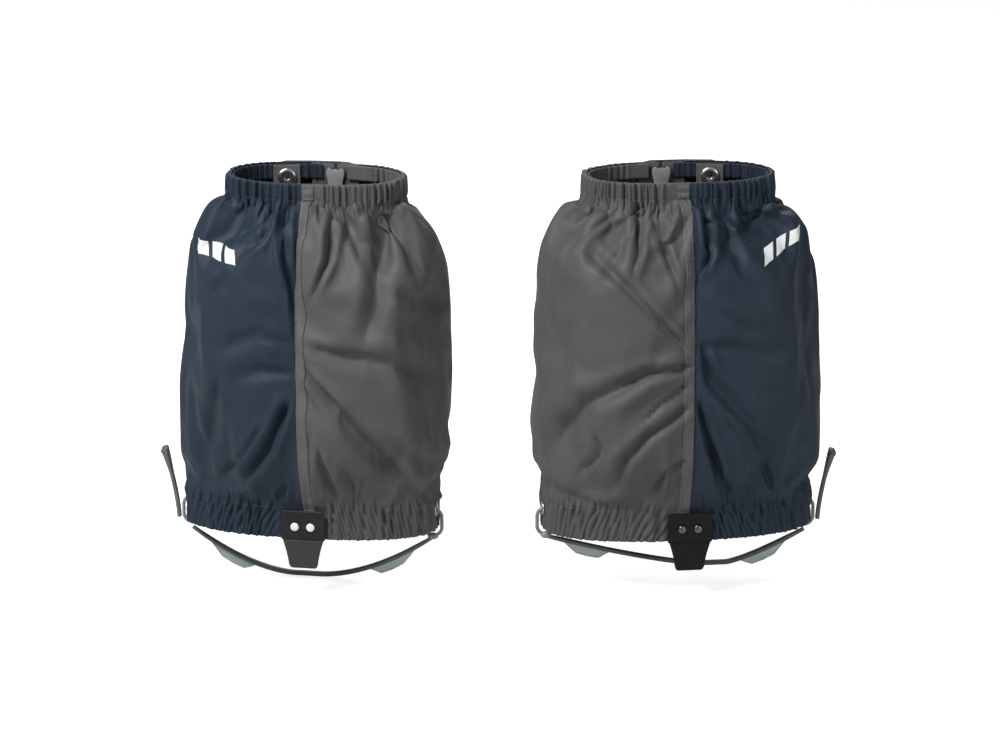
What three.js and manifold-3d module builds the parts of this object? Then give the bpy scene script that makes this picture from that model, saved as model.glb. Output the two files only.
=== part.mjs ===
// A pair of short hiking gaiters, standing open as they do round a boot and ankle.
// Millimetres, +Z up, -Y to the wearer's front. The origin lies midway between the two gaiters,
// at the level of their bottom edges. Each gaiter is built in its own frame with the outer side of
// the leg at -X and its bottom edge at Z = 0, then turned and, for the left leg, mirrored.
import * as THREE from 'three';
import { mergeVertices } from 'three/addons/utils/BufferGeometryUtils.js';
import Module from 'manifold-3d';

const wasm = await Module();
wasm.setup();
const { lerp, degToRad, smoothstep } = THREE.MathUtils;

// The pair
const SPACING = 234;
const HEIGHT = 234;
const BELLY_HEIGHT = 90;
const BOTTOM_HEM = 21;
const TOP_HEM = 11;
const ROUNDNESS = 2.4;

// Half widths and half depths, how the shoulder under the top hem is rounded, how far the bottom
// leans to the outer side, the toe-out turn, and where the instep strap hangs lowest.
const RIGHT_FORM = {
  hem: [82.5, 37], belly: [88.5, 46], band: [56.5, 33.5],
  shoulder: [3.3, 0.625], lean: 5, toeOut: 10, strapLow: [-8, -36], strapSlack: 1.75,
};
const LEFT_FORM = {
  hem: [87.5, 41], belly: [93.5, 48], band: [60.5, 33.5],
  shoulder: [2.6, 0.376], lean: 0, toeOut: 7, strapLow: [-25, -29], strapSlack: 1.3,
};

// Cloth plies, from the outer face inwards, with the gap between one ply and the next
const PLY_GAP = 0.3;
const PANEL = 1.2;
const ELASTIC = 1;
const FACING = 0.8;
const TAPE = 0.7;
const SEAM_TAPE = 0.6;
const TOP_ELASTIC_WIDTH = 8;
const BOTTOM_ELASTIC_WIDTH = 5.5;
const ELASTIC_INSET = 1.5;
const FRONT_SEAM_X = -2;
const SEAM_TAPE_WIDTH = 8;

// Zip, its slider and its puller
const ZIP_X = 6;
const ZIP_SLOT = 7.2;
const ZIP_TAPE_WIDTH = 16;
const COIL_WIDTH = 2.2;
const COIL_THICK = 2.1;
const CHAIN_GAP = 1.8;
const STOP_HEIGHT = 3.4;
const STOP_Z = 2.6;
const SLIDER_LENGTH = 13;
const SLIDER_WIDTH = 10;
const SLIDER_PLATE = 1.2;
const SLIDER_BELOW_TOP = 4;
const PULLER_LENGTH = 26;
const PULLER_THICK = 1;
const FACING_FROM_ZIP = 8.5;

// Closing tab and press stud
const TAB_HEIGHT = 9.5;
const TAB_THICK = 1;
const TAB_ROOT_FROM_ZIP = 12;
const STUD_X = -26.5;
const STUD_BELOW_TOP = 9.5;
const STUD_RADIUS = 5.2;
const STUD_SEAT = 0.7;
const SOCKET_RADIUS = 5.5;
const CAP_RADIUS = 6.2;
const RING_RADIUS = 6.1;
const RING_HOLE = 1.5;
const PADDLE_RADIUS = 8;
const TAB_RISE = 4.3;
const STUD_PATCH = [18, 17.5];

// Front patch, tongue, lace hook and rivets
const PATCH_WIDTH = 29;
const PATCH_HEIGHT = 20;
const PATCH_THICK = 1.5;
const TONGUE = { top: 27, bottom: 18.5, length: 19 };
const HOOK_WIDTH = 14;
const HOOK_THICK = 0.8;
const HOOK_DROP = 15;
const HOOK_REACH = 7.5;
const HOOK_TIP = 8;
const RIVET_PITCH = 10.4;
const RIVET_Z = 9.2;
const RIVET_SHANK = 1.1;
const RIVET_HEAD = 2.6;

// Eyelets, instep strap, its keeper loop and its tail
const EYELET_Z = 13;
const EYELET_HOLE = 3;
const EYELET_BARREL = 0.4;
const EYELET_RADIUS = 4.5;
const EYELET_FLANGE = 0.7;
const EYELET_SEAT = 0.6;
const LOOP_RADIUS = 6;
const LOOP_CORD = 1.2;
const LOOP_FOOT = -5;
const STRAP_THICK = 3;
const STRAP_WIDTH = 4.6;
const STRAP_FLAT = 9;
const FIN_DEPTH = 7.5;
const FIN_THICK = 2;
const FIN_LENGTH = 34;
const FIN_FROM_END = 10;
const TAIL_LENGTH = 46;
const TAIL_LEAN = 9;
const TAIL_PLAY = 0.8;

const COLOURS = {
  navy: [0x2b3542, 0.75, 0], grey: [0x4c4c4c, 0.75, 0], seam: [0x5d5f61, 0.8, 0],
  elastic: [0x202224, 0.9, 0], lining: [0x505254, 0.85, 0], tape: [0x2c2e31, 0.85, 0],
  coil: [0x1c1d1f, 0.5, 0], slider: [0x6c7274, 0.35, 0.9], black: [0x17181a, 0.55, 0],
  tongue: [0x454545, 0.45, 0], steel: [0xc8cacc, 0.25, 1], gunmetal: [0x2a2b2d, 0.3, 1],
  strap: [0x848f8d, 0.5, 0], cap: [0x2b2c2e, 0.4, 0.6],
};

function material(name) {
  const [color, roughness, metalness] = COLOURS[name];
  return new THREE.MeshStandardMaterial({ color, roughness, metalness });
}

// ---- solids ------------------------------------------------------------------------------------

// Moves every vertex of a unit box: across, up and through are the box's three directions, 0 to 1.
function bendBox(columns, rows, place) {
  const box = new THREE.BoxGeometry(1, 1, 1, columns, rows, 1);
  const at = box.attributes.position;
  for (let i = 0; i < at.count; i++) {
    const p = place(at.getX(i) + 0.5, at.getY(i) + 0.5, at.getZ(i) + 0.5);
    at.setXYZ(i, p.x, p.y, p.z);
  }
  return box;
}

function toManifold(geometry) {
  const bare = geometry.clone();
  for (const name of Object.keys(bare.attributes)) {
    if (name !== 'position') bare.deleteAttribute(name);
  }
  const merged = mergeVertices(bare, 1e-4);
  return new wasm.Manifold(new wasm.Mesh({
    numProp: 3,
    vertProperties: new Float32Array(merged.attributes.position.array),
    triVerts: new Uint32Array(merged.index.array),
  }));
}

function fromManifold(solid) {
  const mesh = solid.getMesh();
  const geometry = new THREE.BufferGeometry();
  geometry.setAttribute('position', new THREE.BufferAttribute(mesh.vertProperties, 3));
  geometry.setIndex(new THREE.BufferAttribute(mesh.triVerts, 1));
  geometry.computeVertexNormals();
  return geometry;
}

function drill(geometry, drills) {
  const solid = drills.reduce((left, tool) => left.subtract(toManifold(tool)), toManifold(geometry));
  return fromManifold(solid);
}

function weld(...geometries) {
  return fromManifold(geometries.map(toManifold).reduce((sum, next) => sum.add(next)));
}

function block(x0, x1, y0, y1, z0, z1) {
  const box = new THREE.BoxGeometry(x1 - x0, y1 - y0, z1 - z0);
  return box.translate((x0 + x1) / 2, (y0 + y1) / 2, (z0 + z1) / 2);
}

// A flat outline drawn in X and Z, made into a plate that fills y0 to y1.
function plate(outline, y0, y1) {
  const solid = new THREE.ExtrudeGeometry(outline, { depth: y1 - y0, bevelEnabled: false, curveSegments: 5 });
  return solid.rotateX(Math.PI / 2).translate(0, y1, 0);
}

function polygon(points) {
  return new THREE.Shape(points.map(([x, z]) => new THREE.Vector2(x, z)));
}

// A turned piece about +Y from its radius and height pairs.
function turned(profile, sides = 14) {
  return new THREE.LatheGeometry(profile.map(([r, y]) => new THREE.Vector2(r, y)), sides);
}

function bar(radius, length, sides = 12) {
  return new THREE.CylinderGeometry(radius, radius, length, sides);
}

// ---- the shape of one gaiter --------------------------------------------------------------------

function section(form, z) {
  const body = HEIGHT - TOP_HEM - BOTTOM_HEM;
  const t = Math.min(Math.max((z - BOTTOM_HEM) / body, 0), 1);
  const swell = (1 - t ** form.shoulder[0]) ** form.shoulder[1];
  const low = Math.min(Math.max((BELLY_HEIGHT - z) / (BELLY_HEIGHT - BOTTOM_HEM), 0), 1) ** 2.5;
  const [a, b] = [0, 1].map((i) => form.band[i] + (form.belly[i] - form.band[i]) * swell
    - (form.belly[i] - form.hem[i]) * low);
  return { a, b, x0: -form.lean * low, y0: form.hem[1] - b };
}

// A point on the outer face at one height and angle, moved out by an offset. 0 is +X, a quarter
// turn is the back. The back is one straight upright line, so the zip runs straight.
function surface(form, z, angle, offset) {
  const { a, b, x0, y0 } = section(form, z);
  const [c, s] = [Math.cos(angle), Math.sin(angle)];
  const u = Math.sign(c) * Math.abs(c) ** (2 / ROUNDNESS);
  const v = Math.sign(s) * Math.abs(s) ** (2 / ROUNDNESS);
  const nx = Math.sign(u) * Math.abs(u) ** (ROUNDNESS - 1) / a;
  const ny = Math.sign(v) * Math.abs(v) ** (ROUNDNESS - 1) / b;
  const n = Math.hypot(nx, ny);
  return new THREE.Vector3(x0 + a * u + offset * nx / n, y0 + b * v + offset * ny / n, z);
}

function backAngle(form, z, x) {
  const { a, x0 } = section(form, z);
  const u = (x - x0) / a;
  return Math.acos(Math.sign(u) * Math.abs(u) ** (ROUNDNESS / 2));
}

function frontAngle(form, z, x) {
  return 2 * Math.PI - backAngle(form, z, x);
}

// A ply of cloth between two edges, each an angle that depends on the height.
function ply(form, heights, start, end, inner, outer, columns) {
  const rows = heights.length - 1;
  return bendBox(columns, rows, (across, up, through) => {
    const z = heights[Math.round(up * rows)];
    return surface(form, z, lerp(start(z), end(z), across), lerp(inner, outer, through));
  });
}

// Heights of the rows of a full-height ply, closer together under the top hem.
function rowHeights() {
  const steps = 9;
  const body = HEIGHT - TOP_HEM - BOTTOM_HEM;
  const heights = [0];
  for (let i = 0; i <= steps; i++) heights.push(BOTTOM_HEM + body * (1 - (1 - i / steps) ** 1.8));
  heights.push(HEIGHT);
  return heights;
}

// Where each ply lies, as offsets from the outer face of the panels.
const PANEL_INNER = -PANEL;
const SECOND_PLY = PANEL_INNER - PLY_GAP;
const FACING_OUTER = SECOND_PLY - ELASTIC - PLY_GAP;
const FACING_INNER = FACING_OUTER - FACING;
const HOOK_INNER = PLY_GAP + SEAM_TAPE + PLY_GAP;
const PATCH_INNER = HOOK_INNER + HOOK_THICK + PLY_GAP;
const PATCH_OUTER = PATCH_INNER + PATCH_THICK;

// ---- drills for what passes through the cloth -------------------------------------------------------

function rivetDrills(form) {
  return [-1, 1].map((side) => bar(RIVET_SHANK + PLY_GAP, 24).translate(
    FRONT_SEAM_X + side * RIVET_PITCH / 2, -form.hem[1], RIVET_Z));
}

function eyeletDrills(form) {
  const { a, x0 } = section(form, EYELET_Z);
  return [-1, 1].map((side) => bar(EYELET_HOLE + EYELET_BARREL + PLY_GAP, 24)
    .rotateZ(Math.PI / 2).translate(x0 + side * a, 0, EYELET_Z));
}

// ---- sub-parts ---------------------------------------------------------------------------------

function panels(form) {
  const rows = rowHeights();
  const drills = [...rivetDrills(form), ...eyeletDrills(form)];
  const edge = PLY_GAP / 2;
  const outer = ply(form, rows, (z) => backAngle(form, z, ZIP_X - ZIP_SLOT / 2),
    (z) => frontAngle(form, z, FRONT_SEAM_X - edge), PANEL_INNER, 0, 22);
  const inner = ply(form, rows, (z) => frontAngle(form, z, FRONT_SEAM_X + edge) - 2 * Math.PI,
    (z) => backAngle(form, z, ZIP_X + ZIP_SLOT / 2), PANEL_INNER, 0, 22);
  const seam = ply(form, rows, (z) => frontAngle(form, z, FRONT_SEAM_X + edge),
    (z) => frontAngle(form, z, FRONT_SEAM_X + SEAM_TAPE_WIDTH), PLY_GAP, PLY_GAP + SEAM_TAPE, 1);
  return {
    outer_panel: [drill(outer, drills), 'navy'],
    inner_panel: [drill(inner, drills), 'grey'],
    front_seam_tape: [drill(seam, rivetDrills(form)), 'seam'],
  };
}

function hems(form) {
  const pastTape = ZIP_TAPE_WIDTH + PLY_GAP;
  const ring = (low, high, fromZip, inner, outer) => ply(form, [low, high],
    (z) => backAngle(form, z, ZIP_X - fromZip),
    (z) => backAngle(form, z, ZIP_X + fromZip) + 2 * Math.PI, inner, outer, 44);
  const top = HEIGHT - ELASTIC_INSET;
  const elasticInner = SECOND_PLY - ELASTIC;
  const drills = [...rivetDrills(form), ...eyeletDrills(form)];
  return {
    top_elastic: [ring(top - TOP_ELASTIC_WIDTH, top, pastTape, elasticInner, SECOND_PLY), 'elastic'],
    top_hem_facing: [ring(HEIGHT - TOP_HEM, HEIGHT, FACING_FROM_ZIP, FACING_INNER, FACING_OUTER), 'lining'],
    bottom_elastic: [ring(ELASTIC_INSET, ELASTIC_INSET + BOTTOM_ELASTIC_WIDTH, pastTape,
      elasticInner, SECOND_PLY), 'elastic'],
    bottom_hem_facing: [drill(ring(0, BOTTOM_HEM, FACING_FROM_ZIP, FACING_INNER, FACING_OUTER), drills),
      'lining'],
  };
}

function zip(form) {
  const rows = rowHeights();
  const back = form.hem[1];
  const near = CHAIN_GAP / 2;
  const tape = (from, to) => ply(form, rows, (z) => backAngle(form, z, ZIP_X + from),
    (z) => backAngle(form, z, ZIP_X + to), SECOND_PLY - TAPE, SECOND_PLY, 3);
  const coilInner = back - PANEL;
  const coilFoot = STOP_Z + STOP_HEIGHT + PLY_GAP;
  const coil = (side) => {
    const xs = [side * near, side * (near + COIL_WIDTH)].sort((p, q) => p - q);
    return block(ZIP_X + xs[0], ZIP_X + xs[1], coilInner, coilInner + COIL_THICK, coilFoot, HEIGHT - 3);
  };
  const stopHalf = near + COIL_WIDTH + PLY_GAP;
  return {
    zip_tape_outer: [tape(-near, -ZIP_TAPE_WIDTH), 'tape'],
    zip_tape_inner: [tape(ZIP_TAPE_WIDTH, near), 'tape'],
    zip_coil_outer: [coil(-1), 'coil'],
    zip_coil_inner: [coil(1), 'coil'],
    zip_bottom_stop: [block(ZIP_X - stopHalf, ZIP_X + stopHalf, coilInner,
      coilInner + COIL_THICK + PLY_GAP, STOP_Z, STOP_Z + STOP_HEIGHT), 'slider'],
  };
}

// The slider's own frame: centre of its length on the chain line, Y out of the gaiter.
const CHAIN_TOP = COIL_THICK - PANEL;
const PLATE_TOP = CHAIN_TOP + PLY_GAP + SLIDER_PLATE;
const PLATE_UNDER = SECOND_PLY - TAPE - 1.3;
const PULLER_PIVOT = [PLATE_TOP + 1.3, -3.5];
const BRIDGE_INNER = PULLER_THICK / 2 + 0.6;

function sliderOutline() {
  const [w, h] = [SLIDER_WIDTH / 2, SLIDER_LENGTH / 2];
  const shape = new THREE.Shape();
  shape.moveTo(-w * 0.72, -h);
  shape.lineTo(w * 0.72, -h);
  shape.lineTo(w * 0.8, -h * 0.2);
  shape.quadraticCurveTo(w, h * 0.1, w, h * 0.45);
  shape.quadraticCurveTo(w * 0.9, h * 0.95, w * 0.4, h * 0.82);
  shape.lineTo(0, h);
  shape.lineTo(-w * 0.4, h * 0.82);
  shape.quadraticCurveTo(-w * 0.9, h * 0.95, -w, h * 0.45);
  shape.quadraticCurveTo(-w, h * 0.1, -w * 0.8, -h * 0.2);
  shape.closePath();
  return shape;
}

function slider() {
  const h = SLIDER_LENGTH / 2;
  const post = CHAIN_GAP / 2 - PLY_GAP;
  const [pivotY, pivotZ] = PULLER_PIVOT;
  const leg = 0.9;
  const crown = pivotY + BRIDGE_INNER;
  const sunk = 0.1;
  return weld(
    plate(sliderOutline(), PLATE_TOP - SLIDER_PLATE, PLATE_TOP),
    plate(sliderOutline(), PLATE_UNDER - SLIDER_PLATE, PLATE_UNDER),
    block(-post, post, PLATE_UNDER - sunk, PLATE_TOP - SLIDER_PLATE + sunk, h - 6, h - 1.5),
    block(-1, 1, PLATE_TOP - sunk, crown + leg, pivotZ + BRIDGE_INNER, pivotZ + BRIDGE_INNER + leg),
    block(-1, 1, PLATE_TOP - sunk, crown + leg, pivotZ - BRIDGE_INNER - leg, pivotZ - BRIDGE_INNER),
    block(-1, 1, crown, crown + leg, pivotZ - BRIDGE_INNER - sunk, pivotZ + BRIDGE_INNER + sunk),
  );
}

// The puller hangs from its own pivot at the origin.
function puller() {
  const half = PULLER_THICK / 2;
  const outline = polygon([[-2.6, half], [2.6, half], [3.2, -3], [3.2, -6], [2.4, -9],
    [2.4, -PULLER_LENGTH + 3], [1.6, -PULLER_LENGTH], [-1.6, -PULLER_LENGTH], [-2.4, -PULLER_LENGTH + 3],
    [-2.4, -9], [-3.2, -6], [-3.2, -3]]);
  outline.holes.push(polygon([[-1.6, -half], [-1.6, -3.8], [1.6, -3.8], [1.6, -half]]));
  return plate(outline, -half, half);
}

// The tab is sewn beside the zip, arches over the slider and widens round the press stud.
function tabGeometry(form) {
  const root = ZIP_X + TAB_ROOT_FROM_ZIP;
  const tip = STUD_X - PADDLE_RADIUS;
  const middle = HEIGHT - STUD_BELOW_TOP;
  const top = HEIGHT - 1;
  return bendBox(16, 3, (across, up, through) => {
    const x = lerp(root, tip + 0.3, across);
    const rise = lerp(TAB_RISE, PLY_GAP, smoothstep(x, ZIP_X + SLIDER_WIDTH / 2, root));
    const widen = smoothstep(-x, -STUD_X - 16, -STUD_X - 6);
    const beyond = Math.max(STUD_X - x, 0) / PADDLE_RADIUS;
    const reach = Math.sqrt(Math.max(1 - beyond ** 2, 0));
    const low = lerp(top - TAB_HEIGHT, middle - PADDLE_RADIUS * reach, widen);
    const high = beyond > 0 ? middle + (top - middle) * reach : top;
    const foot = surface(form, HEIGHT, backAngle(form, HEIGHT, x), rise + TAB_THICK * through);
    return new THREE.Vector3(foot.x, foot.y, lerp(low, high, up));
  });
}

// Places a turned piece on the back with its axis out of the cloth.
function onBack(form, geometry) {
  const z = HEIGHT - STUD_BELOW_TOP;
  const angle = backAngle(form, HEIGHT, STUD_X);
  const foot = surface(form, HEIGHT, angle, 0);
  const out = surface(form, HEIGHT, angle, 1).sub(foot);
  return geometry.rotateZ(Math.atan2(-out.x, out.y)).translate(foot.x, foot.y, z);
}

function closing(form) {
  const tabOuter = TAB_RISE + TAB_THICK;
  const socketFoot = STUD_SEAT + 1;
  const stud = turned([[0, STUD_SEAT], [STUD_RADIUS, STUD_SEAT], [STUD_RADIUS, STUD_SEAT + 0.4],
    [STUD_RADIUS - 1, STUD_SEAT + 0.7], [1.6, STUD_SEAT + 0.7], [1.8, 2.4], [1.8, 2.9], [1.2, 3.3], [0, 3.3]]);
  const socketTop = TAB_RISE - PLY_GAP;
  const socket = turned([[2.6, socketFoot], [SOCKET_RADIUS - 0.6, socketFoot], [SOCKET_RADIUS, socketFoot + 0.5],
    [SOCKET_RADIUS, socketTop], [2.6, socketTop], [2.6, socketFoot]]);
  const capFoot = tabOuter + PLY_GAP;
  const cap = turned([[0, capFoot], [CAP_RADIUS, capFoot], [CAP_RADIUS, capFoot + 0.4],
    [CAP_RADIUS - 0.8, capFoot + 1], [CAP_RADIUS - 3, capFoot + 1.4], [0, capFoot + 1.5]]);
  const patchOuter = FACING_INNER - PLY_GAP;
  const patchInner = patchOuter - FACING;
  const [patchWide, patchTall] = STUD_PATCH;
  const patchTop = HEIGHT - 1.5;
  const patch = bendBox(4, 1, (across, up, through) => {
    const angle = backAngle(form, HEIGHT, STUD_X + patchWide * (0.5 - across));
    const foot = surface(form, HEIGHT, angle, lerp(patchInner, patchOuter, through));
    return foot.setZ(patchTop + patchTall * (up - 1));
  });
  const ringOuter = patchInner - PLY_GAP;
  const ring = turned([[RING_HOLE, ringOuter - 0.9], [2.6, ringOuter - 1.3], [RING_RADIUS - 1.6, ringOuter - 1.3],
    [RING_RADIUS, ringOuter - 0.5], [RING_RADIUS, ringOuter], [RING_HOLE, ringOuter],
    [RING_HOLE, ringOuter - 0.9]]);
  return {
    closing_tab: [tabGeometry(form), 'black'],
    snap_cap: [onBack(form, cap), 'cap'],
    snap_socket: [onBack(form, socket), 'steel'],
    snap_stud: [onBack(form, stud), 'steel'],
    snap_patch: [patch, 'grey'],
    snap_ring: [onBack(form, ring), 'steel'],
  };
}

// The patch, tongue and hook stand flat against the front of the hem.
function frontHook(form) {
  const front = -form.hem[1];
  const half = PATCH_WIDTH / 2;
  const round = 2;
  const drills = rivetDrills(form);
  const patch = new THREE.Shape();
  patch.moveTo(-half + round, PATCH_HEIGHT);
  patch.quadraticCurveTo(-half, PATCH_HEIGHT, -half, PATCH_HEIGHT - round);
  patch.lineTo(-half, PLY_GAP);
  patch.lineTo(half, PLY_GAP);
  patch.lineTo(half, PATCH_HEIGHT - round);
  patch.quadraticCurveTo(half, PATCH_HEIGHT, half - round, PATCH_HEIGHT);
  patch.closePath();
  const [wide, narrow, drop] = [TONGUE.top / 2, TONGUE.bottom / 2, TONGUE.length];
  const tongue = new THREE.Shape();
  tongue.moveTo(-wide, 0);
  tongue.lineTo(-narrow - 0.4, -drop + round);
  tongue.quadraticCurveTo(-narrow, -drop, -narrow + round, -drop);
  tongue.lineTo(narrow - round, -drop);
  tongue.quadraticCurveTo(narrow, -drop, narrow + 0.4, -drop + round);
  tongue.lineTo(wide, 0);
  tongue.closePath();
  // The hook's side view, drawn with X towards the back: down the front, under and up to the tip.
  const [t, bend] = [HOOK_THICK, 2.2];
  const hook = new THREE.Shape();
  hook.moveTo(0, PATCH_HEIGHT - 5);
  hook.lineTo(0, -HOOK_DROP + bend);
  hook.quadraticCurveTo(0, -HOOK_DROP, bend, -HOOK_DROP);
  hook.lineTo(HOOK_REACH - bend, -HOOK_DROP);
  hook.quadraticCurveTo(HOOK_REACH, -HOOK_DROP, HOOK_REACH, -HOOK_DROP + bend);
  hook.lineTo(HOOK_REACH, -HOOK_DROP + HOOK_TIP);
  hook.lineTo(HOOK_REACH - t, -HOOK_DROP + HOOK_TIP);
  hook.lineTo(HOOK_REACH - t, -HOOK_DROP + bend);
  hook.quadraticCurveTo(HOOK_REACH - t, -HOOK_DROP + t, HOOK_REACH - bend, -HOOK_DROP + t);
  hook.lineTo(bend, -HOOK_DROP + t);
  hook.quadraticCurveTo(t, -HOOK_DROP + t, t, -HOOK_DROP + bend);
  hook.lineTo(t, PATCH_HEIGHT - 5);
  hook.closePath();
  const hookSolid = new THREE.ExtrudeGeometry(hook, { depth: HOOK_WIDTH, bevelEnabled: false, curveSegments: 4 })
    .rotateX(Math.PI / 2).rotateZ(Math.PI / 2)
    .translate(FRONT_SEAM_X - HOOK_WIDTH / 2, front - HOOK_INNER - HOOK_THICK, 0);
  const rivet = (side) => turned([[0, FACING_INNER - 1.2], [2.2, FACING_INNER - 1.2],
    [2.2, FACING_INNER - PLY_GAP], [RIVET_SHANK, FACING_INNER - PLY_GAP], [RIVET_SHANK, PATCH_OUTER + PLY_GAP],
    [RIVET_HEAD, PATCH_OUTER + PLY_GAP], [RIVET_HEAD - 0.2, PATCH_OUTER + 0.9],
    [RIVET_HEAD - 1.2, PATCH_OUTER + 1.5], [0, PATCH_OUTER + 1.7]])
    .rotateZ(Math.PI).translate(FRONT_SEAM_X + side * RIVET_PITCH / 2, front, RIVET_Z);
  const metal = form === RIGHT_FORM ? 'steel' : 'gunmetal';
  return {
    hook_patch: [drill(plate(patch, -PATCH_OUTER, -PATCH_INNER).translate(FRONT_SEAM_X, front, 0), drills),
      'black'],
    hook_tongue: [plate(tongue, -PATCH_OUTER, -PATCH_INNER).translate(FRONT_SEAM_X, front, 0), 'tongue'],
    lace_hook: [drill(hookSolid, drills), metal],
    hook_rivet_outer: [rivet(-1), metal],
    hook_rivet_inner: [rivet(1), metal],
  };
}

function eyelet(form, side) {
  const { a, x0 } = section(form, EYELET_Z);
  const inner = FACING_INNER - EYELET_SEAT;
  const barrel = EYELET_HOLE + EYELET_BARREL;
  const outer = PLY_GAP;
  return turned([[EYELET_HOLE, inner - EYELET_FLANGE], [EYELET_RADIUS, inner - EYELET_FLANGE],
    [EYELET_RADIUS, inner], [barrel, inner], [barrel, outer], [EYELET_RADIUS, outer],
    [EYELET_RADIUS, outer + EYELET_FLANGE], [EYELET_HOLE, outer + EYELET_FLANGE],
    [EYELET_HOLE, inner - EYELET_FLANGE]])
    .rotateZ(-side * Math.PI / 2).translate(x0 + side * a, 0, EYELET_Z);
}

// A long ring in X and Z that passes through an eyelet and under the bottom edge.
function loopRing(form, side) {
  const top = EYELET_Z + 0.35 - LOOP_RADIUS;
  const foot = LOOP_FOOT + LOOP_RADIUS;
  const ring = new THREE.TorusGeometry(LOOP_RADIUS, LOOP_CORD, 7, 20).rotateX(Math.PI / 2);
  const at = ring.attributes.position;
  for (let i = 0; i < at.count; i++) at.setZ(i, at.getZ(i) + (at.getZ(i) > 1e-4 ? top : foot));
  return ring.translate(loopX(form, side), 0, 0);
}

// The middle of a loop lies in the middle of the eyelet's two flanges.
function loopX(form, side) {
  const { a, x0 } = section(form, EYELET_Z);
  return x0 + side * (a + (FACING_INNER + PLY_GAP) / 2);
}

// The strap's middle line: level at its lowest, then rising to the foot of each loop.
function strapLine(form) {
  const [lowX, lowZ] = form.strapLow;
  const ends = { [-1]: LOOP_FOOT - LOOP_CORD - PLY_GAP - STRAP_THICK / 2, 1: LOOP_FOOT - LOOP_CORD };
  return (x) => {
    const side = x < lowX ? -1 : 1;
    const run = Math.max(Math.abs(x - lowX) - STRAP_FLAT, 0);
    const span = Math.abs(loopX(form, side) - lowX) - STRAP_FLAT;
    return lerp(lowZ, ends[side], (run / span) ** form.strapSlack);
  };
}

function instepStrap(form) {
  const line = strapLine(form);
  const [left, right] = [loopX(form, -1), loopX(form, 1)];
  const steps = 30;
  const [lowX] = form.strapLow;
  const xs = [lowX - STRAP_FLAT, lowX + STRAP_FLAT];
  for (let i = 0; i <= steps; i++) xs.push(lerp(left, right, i / steps));
  const clear = (x) => Math.abs(x - lowX) >= STRAP_FLAT - 1e-6;
  const along = xs.filter(clear).sort((p, q) => p - q);
  const half = STRAP_THICK / 2;
  const edge = (side) => along.map((x) => {
    const slope = (line(x + 0.5) - line(x - 0.5));
    const n = Math.hypot(slope, 1);
    const flat = Math.abs(Math.abs(x - lowX) - STRAP_FLAT) < 1e-6;
    return flat ? [x, line(x) + side * half] : [x - side * half * slope / n, line(x) + side * half / n];
  });
  const spine = plate(polygon([...edge(1), ...edge(-1).reverse()]), -STRAP_WIDTH / 2, STRAP_WIDTH / 2);
  const fin = (x0, x1) => {
    const at = (t) => lerp(x0, x1, t);
    return plate(polygon([[at(0), line(at(0))], [at(0.28), line(at(0.28)) - FIN_DEPTH],
      [at(0.72), line(at(0.72)) - FIN_DEPTH], [at(1), line(at(1))], [at(0.5), line(at(0.5)) + 0.2]]),
    -FIN_THICK / 2, FIN_THICK / 2);
  };
  return weld(spine, fin(left + FIN_FROM_END, left + FIN_FROM_END + FIN_LENGTH),
    fin(right - FIN_FROM_END - FIN_LENGTH, right - FIN_FROM_END), loopRing(form, 1));
}

// The tail stands up outside the outer loop and flares at its end. Its pivot is at the origin.
function strapTail() {
  const profile = polygon([[-1, -1.2], [1, -1.2], [1, 1], [-TAIL_LEAN * 0.45 + 1, TAIL_LENGTH * 0.6],
    [-TAIL_LEAN + 0.9, TAIL_LENGTH - 3], [-TAIL_LEAN, TAIL_LENGTH], [-TAIL_LEAN - 1.6, TAIL_LENGTH - 1],
    [-TAIL_LEAN * 0.45 - 1, TAIL_LENGTH * 0.6], [-1, 1]]);
  const tail = plate(profile, -1, 1);
  const at = tail.attributes.position;
  for (let i = 0; i < at.count; i++) {
    const flare = lerp(2, 3.6, smoothstep(at.getZ(i), TAIL_LENGTH * 0.55, TAIL_LENGTH));
    at.setY(i, at.getY(i) * flare);
  }
  return tail;
}

function strap(form) {
  return {
    outer_eyelet: [eyelet(form, -1), 'steel'],
    inner_eyelet: [eyelet(form, 1), 'steel'],
    instep_strap: [instepStrap(form), 'strap'],
    strap_keeper: [loopRing(form, -1), 'strap'],
  };
}

// ---- one gaiter --------------------------------------------------------------------------------

function gaiter(form, name) {
  const whole = new THREE.Group();
  const add = (part, [geometry, look], at = [0, 0, 0]) => {
    const mesh = new THREE.Mesh(geometry, material(look));
    mesh.name = `${name}_${part}`;
    mesh.position.set(...at);
    whole.add(mesh);
  };
  const pieces = { ...panels(form), ...hems(form), ...zip(form), ...closing(form), ...frontHook(form),
    ...strap(form) };
  for (const [part, piece] of Object.entries(pieces)) add(part, piece);
  const back = form.hem[1];
  const sliderZ = HEIGHT - SLIDER_BELOW_TOP - SLIDER_LENGTH / 2;
  const [pivotY, pivotZ] = PULLER_PIVOT;
  add('zip_slider', [slider(), 'slider'], [ZIP_X, back, sliderZ]);
  add('zip_puller', [puller(), 'slider'], [ZIP_X, back + pivotY, sliderZ + pivotZ]);
  const tailX = loopX(form, -1) - LOOP_RADIUS - LOOP_CORD - TAIL_PLAY - 1;
  add('strap_tail', [strapTail(), 'strap'], [tailX, 0, 0]);
  whole.rotation.z = degToRad(name === 'right' ? -form.toeOut : form.toeOut);
  return whole;
}

const pair = new THREE.Group();
const right = gaiter(RIGHT_FORM, 'right');
right.position.x = -SPACING / 2;
const left = gaiter(LEFT_FORM, 'left');
left.position.x = SPACING / 2;
left.scale.x = -1;
pair.add(right, left);

export default pair;
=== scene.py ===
import math

import bmesh
import bpy
import numpy as np
from mathutils import Matrix, Vector, noise
from mathutils.bvhtree import BVHTree


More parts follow.
